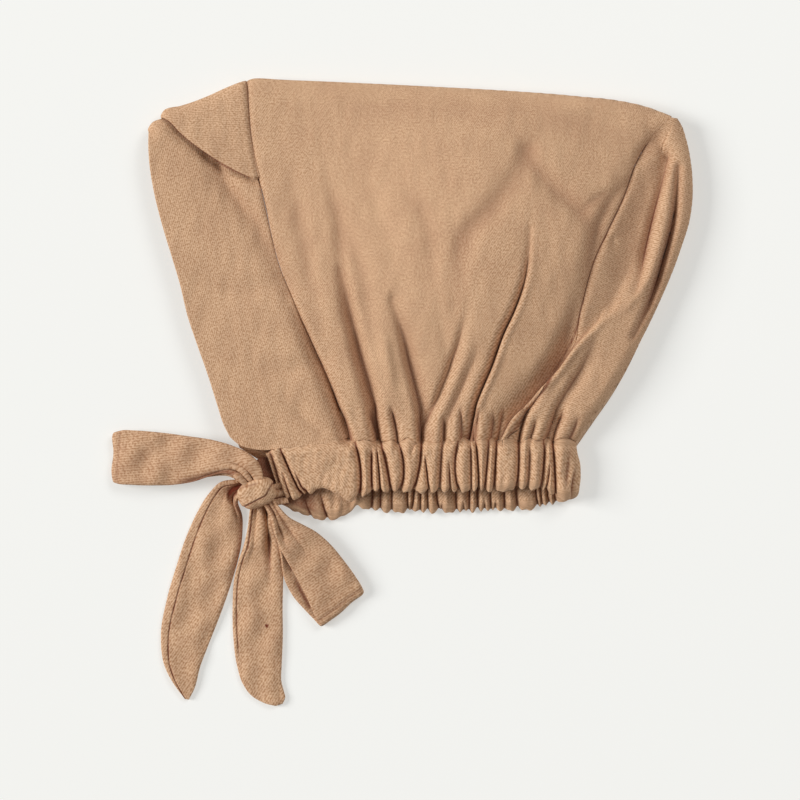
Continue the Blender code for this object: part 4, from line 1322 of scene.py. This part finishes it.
            # Painted shade: a dark line along each crease
            line = 1.3 * pleat.tone * np.exp(-((away / (0.46 * pleat.width)) ** 2))
            line = line * length[:, None]
            tone = np.maximum(tone, line)
            if pleat.end > 1.0:
                edge = np.maximum(edge, np.exp(-(((x[-1] - pleat.bottom) / 1.3) ** 2)))
        return sink * part, tone * part, edge * part


@dataclass(frozen=True)
class Tuck:
    """A crease along a tie: where across it starts and ends, and how far along it goes.

    across_start and across_end are shares of the tie's width, start and end shares of its
    length. tone is how dark the painted shade along its line is, and spread how wide that
    line is to each side.
    """

    across_start: float
    across_end: float
    start: float
    end: float
    depth: float
    width: float
    tone: float = 0.4
    spread: float = 0.8


@dataclass
class Tie:
    """A doubled strap of the bow, lofted along its rows.

    Each row is one section: first x, first y, second x, second y, z, gather, where the
    gather is how high the cloth ripples there. hem_line is the share of the width where a
    seam runs, end_band how far inside the loop's end its pressed edge shows, as a groove
    with painted shade, speck the place of a small dark mark, and hidden how dark the
    painted shade is where hardly any light gets.
    """

    name: str
    node: str
    rows: tuple[tuple[float, ...], ...]
    steps: int
    length: float
    tucks: tuple[Tuck, ...] = ()
    hem_line: float | None = None
    hem_end: float = 1.1
    width: float = 29.0
    puff: float = 1.2
    grain_turn: float = 0.0
    weave: float = 0.78
    end_band: float = 0.0
    speck: Point | None = None
    hidden: float = 0.0
    tint: float = 0.06

    def cloth(self) -> Cloth:
        """The strap as a piece of doubled cloth, with its creases and edge seam."""
        v = shares(self.steps, self.length)
        u = shares(44, self.width, rim=1.6)
        if self.hem_line is not None:
            stitches = self.hem_line + np.array([-0.024, -0.012, 0.0, 0.012, 0.024])
            u = np.sort(np.concatenate([u, stitches]))
        at = smooth(self.rows, v, lead=5)
        across = u[None, :, None]
        first, second = at[:, None, (0, 1, 4)], at[:, None, (2, 3, 4)]
        points = first + across * (second - first)
        wide = np.linalg.norm(at[:, 0:2] - at[:, 2:4], axis=1)[:, None]
        ripple = at[:, 5, None] * np.cos(across[..., 0] * 4 * math.pi)
        points[..., 2] += ripple
        half = rim(u, v, self.width, self.length, 0.5 * DOUBLE_CLOTH)
        hump = turned(np.minimum(u, 1 - u)[None, :] * wide, 5.0)
        swell = wander(points[..., 0], points[..., 1], 21, 15.0, 1.4)
        over = half + self.puff * hump * (0.7 + 0.55 * swell)
        sink = np.zeros(points.shape[:2])
        tone = np.zeros(points.shape[:2])
        for tuck in self.tucks:
            share = (v - tuck.start) / (tuck.end - tuck.start)
            line = tuck.across_start + (tuck.across_end - tuck.across_start) * np.clip(share, 0, 1)
            away = np.abs(u[None, :] - line[:, None]) * wide
            run = eased(share / 0.15 + 1) * eased((1 - share) / 0.5)
            run = np.where((share < -0.05) | (share > 1), 0.0, run)[:, None]
            sink += tuck.depth * run * np.exp(-((away / tuck.width) ** 1.6))
            # Painted shade along the tuck's line
            dark = tuck.tone * run * np.exp(-((away / tuck.spread) ** 2))
            tone = np.maximum(tone, dark)
        mottle = wander(points[..., 0], points[..., 1], 23, 7.0, 1.3)
        tone = np.maximum(tone, self.tint + 0.035 * mottle)
        if self.hem_line is not None:
            away = np.abs(u[None, :] - self.hem_line) * wide
            groove = np.exp(-((away / 0.4) ** 2)) * (1 - eased((v - self.hem_end) / 0.1))[:, None]
            over = over - 0.5 * groove
            tone = np.maximum(tone, (0.8 + 0.2 * mottle) * groove)
        if self.end_band:
            run = lengths_along(points, 0).mean(axis=1)
            tip = np.linalg.norm(points - np.array(KNOT_CENTRE), axis=2).mean(axis=1).argmax()
            away = np.abs(run - run[tip] + self.end_band)[:, None]
            groove = np.exp(-((away / 0.7) ** 2)) * np.ones_like(over)
            over = over - 0.35 * groove
            # Painted shade on the turned end's lower side, along its groove
            tone = np.maximum(tone, 0.4 * groove)
        if self.speck:
            away = np.hypot(points[..., 0] - self.speck[0], points[..., 1] - self.speck[1])
            tone = np.maximum(tone, 4.0 * np.exp(-((away / 0.7) ** 2)))
        tone = np.maximum(tone, self.hidden)
        points[..., 2] -= 0.6 * sink
        over = np.maximum(over - 0.5 * sink, 0.15)
        lowest = half + 0.15
        points[..., 2] = np.maximum(points[..., 2], lowest)
        flat = self.weave * weave_place(points, KNOT_CENTRE, self.grain_turn)
        normal_up = np.cross(np.gradient(points, axis=1), np.gradient(points, axis=0))[..., 2]
        if np.median(normal_up[: len(v) // 3]) > 0:
            return Cloth(self.name, points, over, half, flat, tone)
        return Cloth(self.name, points, half, over, flat, tone)


LEFT_LOOP_ROWS = (
    (-77.3, -51.2, -85.5, -52.3, 13.6, 0.0),
    (-77.0, -44.6, -90.5, -48.4, 15.2, 0.1),
    (-79.5, -38.0, -94.9, -44.6, 15.2, 0.1),
    (-85.0, -33.0, -100.1, -44.0, 14.4, 0.0),
    (-93.8, -28.9, -107.0, -45.7, 12.8, 0.0),
    (-104.2, -25.9, -114.7, -48.4, 10.8, 0.0),
    (-118.5, -23.7, -124.6, -50.3, 9.0, 0.0),
    (-133.9, -21.7, -137.8, -50.9, 7.4, 0.0),
    (-147.7, -20.6, -149.9, -50.6, 6.2, 0.0),
    (-155.4, -20.6, -157.0, -50.1, 5.0, 0.0),
    (-158.4, -21.5, -159.0, -49.5, 3.2, 0.0),
    (-155.4, -22.0, -156.5, -49.8, 1.6, 0.0),
    (-139.4, -23.7, -141.6, -50.6, 1.4, 0.0),
    (-121.8, -26.4, -122.9, -50.1, 2.8, 0.0),
    (-105.3, -30.8, -107.0, -46.2, 6.4, 0.3),
    (-92.1, -36.3, -96.5, -45.7, 9.8, 0.4),
    (-82.2, -46.8, -88.3, -50.1, 11.0, 0.2),
)
RIGHT_LOOP_ROWS = (
    (-74.5, -54.5, -78.4, -59.4, 13.0, 0.2),
    (-68.5, -62.7, -73.4, -66.0, 13.0, 0.4),
    (-62.4, -68.5, -71.2, -75.9, 11.4, 0.5),
    (-55.3, -72.3, -68.2, -84.7, 9.4, 0.3),
    (-47.6, -76.7, -64.1, -92.4, 7.8, 0.1),
    (-39.9, -83.6, -59.4, -100.7, 6.6, 0.0),
    (-32.2, -93.0, -54.2, -110.6, 5.9, 0.0),
    (-26.1, -101.5, -49.8, -120.5, 5.4, 0.0),
    (-23.1, -106.4, -47.6, -125.4, 4.6, 0.0),
    (-22.3, -108.4, -46.2, -128.2, 3.1, 0.0),
    (-23.4, -106.7, -48.4, -126.0, 1.6, 0.0),
    (-30.0, -99.0, -54.2, -119.9, 1.4, 0.0),
    (-40.4, -86.4, -61.6, -111.1, 1.4, 0.0),
    (-50.9, -77.6, -66.3, -100.7, 2.4, 0.0),
    (-59.1, -72.1, -67.7, -89.7, 4.8, 0.1),
    (-65.2, -66.6, -69.9, -77.0, 8.0, 0.3),
    (-74.5, -57.2, -77.8, -59.4, 9.8, 0.2),
)
LEFT_TAIL_ROWS = (
    (-86.1, -49.0, -85.0, -54.5, 7.0, 0.3),
    (-92.7, -47.9, -90.0, -57.2, 6.0, 0.7),
    (-99.8, -48.6, -91.6, -60.5, 4.6, 0.6),
    (-107.0, -55.0, -89.2, -67.1, 2.8, 0.2),
    (-114.2, -66.6, -88.8, -75.9, 1.6, 0.0),
    (-119.4, -78.1, -89.8, -85.2, 1.4, 0.0),
    (-125.0, -94.6, -94.4, -102.9, 1.5, 0.0),
    (-130.6, -113.9, -100.4, -120.5, 1.4, 0.0),
    (-133.9, -134.8, -108.1, -140.2, 1.4, 0.0),
    (-132.2, -149.6, -112.4, -151.8, 1.3, 0.0),
    (-127.0, -160.2, -115.0, -162.2, 1.3, 0.0),
    (-120.6, -168.9, -118.4, -169.2, 1.3, 0.0),
)
RIGHT_TAIL_ROWS = (
    (-83.3, -57.2, -73.5, -57.2, 6.4, 0.6),
    (-84.7, -64.9, -70.6, -64.9, 5.4, 0.6),
    (-85.8, -73.7, -69.6, -73.7, 4.2, 0.6),
    (-88.0, -83.6, -67.6, -83.6, 2.9, 0.5),
    (-91.3, -93.5, -66.4, -93.5, 1.9, 0.2),
    (-93.5, -103.4, -66.4, -103.4, 1.4, 0.1),
    (-94.3, -117.2, -66.7, -117.2, 1.3, 0.0),
    (-93.8, -135.9, -66.6, -135.9, 1.3, 0.0),
    (-91.9, -150.2, -67.2, -150.2, 1.3, 0.0),
    (-88.6, -160.6, -67.4, -158.8, 1.3, 0.0),
    (-83.3, -167.5, -66.0, -164.6, 1.3, 0.0),
    (-76.0, -171.4, -65.3, -168.3, 1.3, 0.0),
    (-70.6, -172.7, -66.6, -171.4, 1.3, 0.0),
)
NEAR_ROOT_ROWS = (
    (-67.5, -49.0, -63.0, -60.5, 8.2, 0.4),
    (-73.5, -50.5, -69.5, -61.6, 8.8, 0.7),
    (-80.5, -51.5, -76.0, -60.0, 9.4, 0.3),
)
FAR_ROOT_ROWS = (
    (-67.4, -38.0, -63.0, -62.7, 4.0, 0.3),
    (-78.5, -35.5, -71.2, -58.3, 5.8, 0.4),
    (-85.0, -41.5, -77.8, -56.1, 7.6, 0.2),
)


@dataclass
class Bow:
    """The bow: its knot, two loops, two tails and the ends that come from the casing."""

    knot_centre: tuple[float, float, float] = KNOT_CENTRE
    knot_size: tuple[float, float, float] = (21.4, 15.6, 14.0)
    knot_turn: float = math.radians(22.0)

    def ties(self) -> tuple[Tie, ...]:
        """The straps of the bow with their creases."""
        return (
            Tie(
                "loop_left_cloth",
                "bow_loop_left",
                LEFT_LOOP_ROWS,
                200,
                168.0,
                (
                    Tuck(0.42, 0.55, 0.0, 0.15, 2.4, 1.0, 0.7),
                    Tuck(0.66, 0.86, 0.0, 0.17, 2.4, 1.2, 0.7),
                    Tuck(0.94, 0.98, 0.08, 0.38, 2.0, 3.0, 0.7, 3.4),
                ),
                grain_turn=0.9,
                end_band=3.0,
                tint=0.14,
            ),
            Tie(
                "loop_right_cloth",
                "bow_loop_right",
                RIGHT_LOOP_ROWS,
                190,
                155.0,
                (
                    Tuck(0.3, 0.55, 0.0, 0.3, 2.2, 2.4),
                    Tuck(0.65, 0.8, 0.0, 0.22, 2.4, 1.6, 0.6),
                    Tuck(0.9, 0.76, 0.58, 0.74, 0.6, 1.6, 0.8, 1.3),
                    Tuck(0.76, 0.9, 0.74, 0.94, 0.6, 1.6, 0.8, 1.3),
                ),
                grain_turn=0.4,
                end_band=3.2,
                tint=0.1,
            ),
            Tie(
                "tail_left_cloth",
                "tie_tail_left",
                LEFT_TAIL_ROWS,
                150,
                130.0,
                (
                    Tuck(0.6, 0.88, 0.0, 0.22, 3.4, 1.8, 0.95, 1.2),
                    Tuck(0.3, 0.45, 0.0, 0.2, 1.4, 2.4),
                    Tuck(0.4, 0.62, 0.01, 0.16, 3.0, 2.0, 1.1, 2.4),
                    Tuck(0.98, 0.98, 0.1, 0.55, 1.0, 2.0, 0.6, 2.2),
                ),
                hem_line=0.165,
            ),
            Tie(
                "tail_right_cloth",
                "tie_tail_right",
                RIGHT_TAIL_ROWS,
                140,
                118.0,
                (
                    Tuck(0.62, 0.74, 0.0, 0.45, 3.4, 1.8, 0.85),
                    Tuck(0.3, 0.22, 0.0, 0.34, 0.8, 2.0, 0.2),
                    Tuck(0.98, 0.98, 0.0, 0.4, 1.0, 1.6, 0.7, 1.6),
                ),
                hem_line=0.085,
                hem_end=0.66,
                speck=(-75.35, -128.3),
            ),
            Tie(
                "root_near_cloth",
                "tie_root_near",
                NEAR_ROOT_ROWS,
                30,
                13.0,
                (Tuck(0.3, 0.3, 0.0, 1.0, 1.6, 1.4, 0.9), Tuck(0.65, 0.65, 0.0, 1.0, 1.6, 1.4,
                    0.9)),
                width=16.0,
                hidden=0.15,
            ),
            Tie(
                "root_far_cloth",
                "tie_root_far",
                FAR_ROOT_ROWS,
                30,
                15.0,
                (Tuck(0.5, 0.5, 0.0, 1.0, 1.4, 1.6),),
                width=24.0,
                hidden=0.75,
            ),
        )

    def knot(self, finish: bpy.types.Material) -> bpy.types.Object:
        """Winds the knot: an oval whose turns are parted by grooves.

        Args:
            finish: the jersey that it is made of.

        Returns:
            The piece.
        """
        bpy.ops.object.select_all(action="DESELECT")
        bpy.ops.mesh.primitive_uv_sphere_add(segments=180, ring_count=120, radius=1.0)
        piece = bpy.context.active_object
        piece.name = "knot_cloth"
        mesh = piece.data
        ball = np.zeros(len(mesh.vertices) * 3, np.float32)
        mesh.vertices.foreach_get("co", ball)
        ball = ball.reshape(-1, 3).astype(float)
        full = np.sign(ball) * np.abs(ball) ** 0.7 * np.array(self.knot_size) / 2
        x, y, z = full.T
        # The upper turn laps over the lower one along a groove that curves up at the right
        lap = y + 3.4 - 0.09 * x - 4.2 * eased((x - 3.0) / 8.0)
        groove = 0.9 * np.exp(-((lap / 0.45) ** 2))
        second = y - 5.2 + 0.14 * x
        groove = groove + 0.5 * np.exp(-((second / 0.6) ** 2)) * eased((5.0 - x) / 4.0)
        step = 1.0 * eased((-lap + 0.4) / 1.6)
        soft = 0.5 * wander(x, y, 31, 9.0)
        scale = 1 - (groove + step - soft * 0.6) / 8.0
        x, z = x * (0.5 + 0.5 * scale), z * scale
        cos, sin = math.cos(self.knot_turn), math.sin(self.knot_turn)
        placed = np.stack([x * cos - y * sin, x * sin + y * cos, z], axis=1)
        placed += np.array(self.knot_centre)
        mesh.vertices.foreach_set("co", (placed * MM).astype(np.float32).ravel())
        layer = mesh.uv_layers.active
        layer.name = "weave"
        index = np.zeros(len(mesh.loops), np.int32)
        mesh.loops.foreach_get("vertex_index", index)
        flat = 0.78 * np.stack([y + z, x], axis=1)[index] * MM
        layer.data.foreach_set("uv", flat.astype(np.float32).ravel())
        # Painted shade in the grooves between the knot's turns
        marks = mesh.attributes.new("painted_shade_and_marks", "FLOAT", "POINT")
        marks.data.foreach_set("value", (0.95 * np.clip(groove, 0, 1)).astype(np.float32))
        mesh.update()
        mesh.materials.clear()
        mesh.materials.append(finish)
        bpy.ops.object.shade_smooth()
        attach(piece, "root")
        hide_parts("tie_knot")
        LOG.info("%s: %d faces", piece.name, len(mesh.polygons))
        return piece

    def build(self, finish: bpy.types.Material) -> list[bpy.types.Object]:
        """Builds the knot and every strap.

        Args:
            finish: the jersey that they are made of.

        Returns:
            The pieces.
        """
        made = [self.knot(finish)]
        for tie in self.ties():
            made.append(dress(tie.cloth(), tie.node, finish))
        return made


@dataclass(frozen=True)
class Studio:
    """A plain pale floor under wide soft lights, with a camera looking straight down."""

    view_width: float = 440.0
    view_centre: Point = (-1.925, -3.85)
    view_height: float = 8.0
    camera_height: float = 2000.0
    floor_colour: str = "#bdbdba"
    floor_glow: float = 0.42
    sensor: float = 36.0

    def floor(self) -> None:
        """Lays the floor."""
        bpy.ops.object.select_all(action="DESELECT")
        bpy.ops.mesh.primitive_plane_add(size=8.0)
        floor = bpy.context.active_object
        floor.name = "floor"
        # Matt white paper on a light table, which keeps its shadows pale
        paper = bpy.data.materials.new("lit_paper")
        paper.use_nodes = True
        shader = paper.node_tree.nodes["Principled BSDF"]
        shader.inputs["Base Color"].default_value = linear(self.floor_colour)
        shader.inputs["Roughness"].default_value = 0.9
        shader.inputs["Specular IOR Level"].default_value = 0.1
        shader.inputs["Emission Color"].default_value = linear("#fffffb")
        shader.inputs["Emission Strength"].default_value = self.floor_glow
        floor.data.materials.append(paper)

    def lights(self) -> None:
        """Hangs two soft boxes and fills the room with even light."""
        self.soft_box("key_box", (-9.6, 1.2, 6.0), 5.0, 1240.0)
        self.soft_box("fill_box", (2.2, 2.4, 3.2), 2.0, 70.0)
        world = bpy.data.worlds.new("studio")
        world.use_nodes = True
        background = world.node_tree.nodes["Background"]
        background.inputs["Color"].default_value = linear("#fdfdff")
        background.inputs["Strength"].default_value = 0.24
        bpy.context.scene.world = world

    @staticmethod
    def soft_box(name: str, place: tuple[float, float, float], size: float, power: float) -> None:
        """Hangs a square soft light that faces the cap."""
        bpy.ops.object.select_all(action="DESELECT")
        bpy.ops.object.light_add(type="AREA", location=place)
        light = bpy.context.active_object
        light.name = name
        light.data.size = size
        light.data.energy = power
        light.rotation_mode = "QUATERNION"
        aim = light.location.copy()
        light.rotation_quaternion = aim.to_track_quat("Z", "Y")

    def camera(self) -> None:
        """Puts the camera straight above the cap."""
        bpy.ops.object.select_all(action="DESELECT")
        x, y = (c * MM for c in self.view_centre)
        bpy.ops.object.camera_add(location=(x, y, self.camera_height * MM), rotation=(0, 0, 0))
        camera = bpy.context.active_object
        camera.name = "camera"
        camera.data.sensor_width = self.sensor
        reach = self.camera_height - self.view_height
        camera.data.lens = self.sensor * reach / self.view_width
        camera.data.clip_end = 20.0
        bpy.context.scene.camera = camera
        bpy.context.scene.view_settings.view_transform = "Standard"

    def build(self) -> None:
        """Sets up floor, lights and camera."""
        self.floor()
        self.lights()
        self.camera()


def main() -> None:
    """Builds the cap and its studio, piece by piece."""
    logging.basicConfig(level=logging.INFO, format="%(name)s %(message)s")
    Studio().build()
    jersey = CrepeJersey("crepe_jersey").make()
    panels = Panels()
    pieces = panels.build(jersey)
    pieces.append(Casing(panels.nape_profile()).build(jersey))
    pieces.extend(Bow().build(jersey))
    LOG.info("%d pieces", len(pieces))


if __name__ == "__main__":
    main()
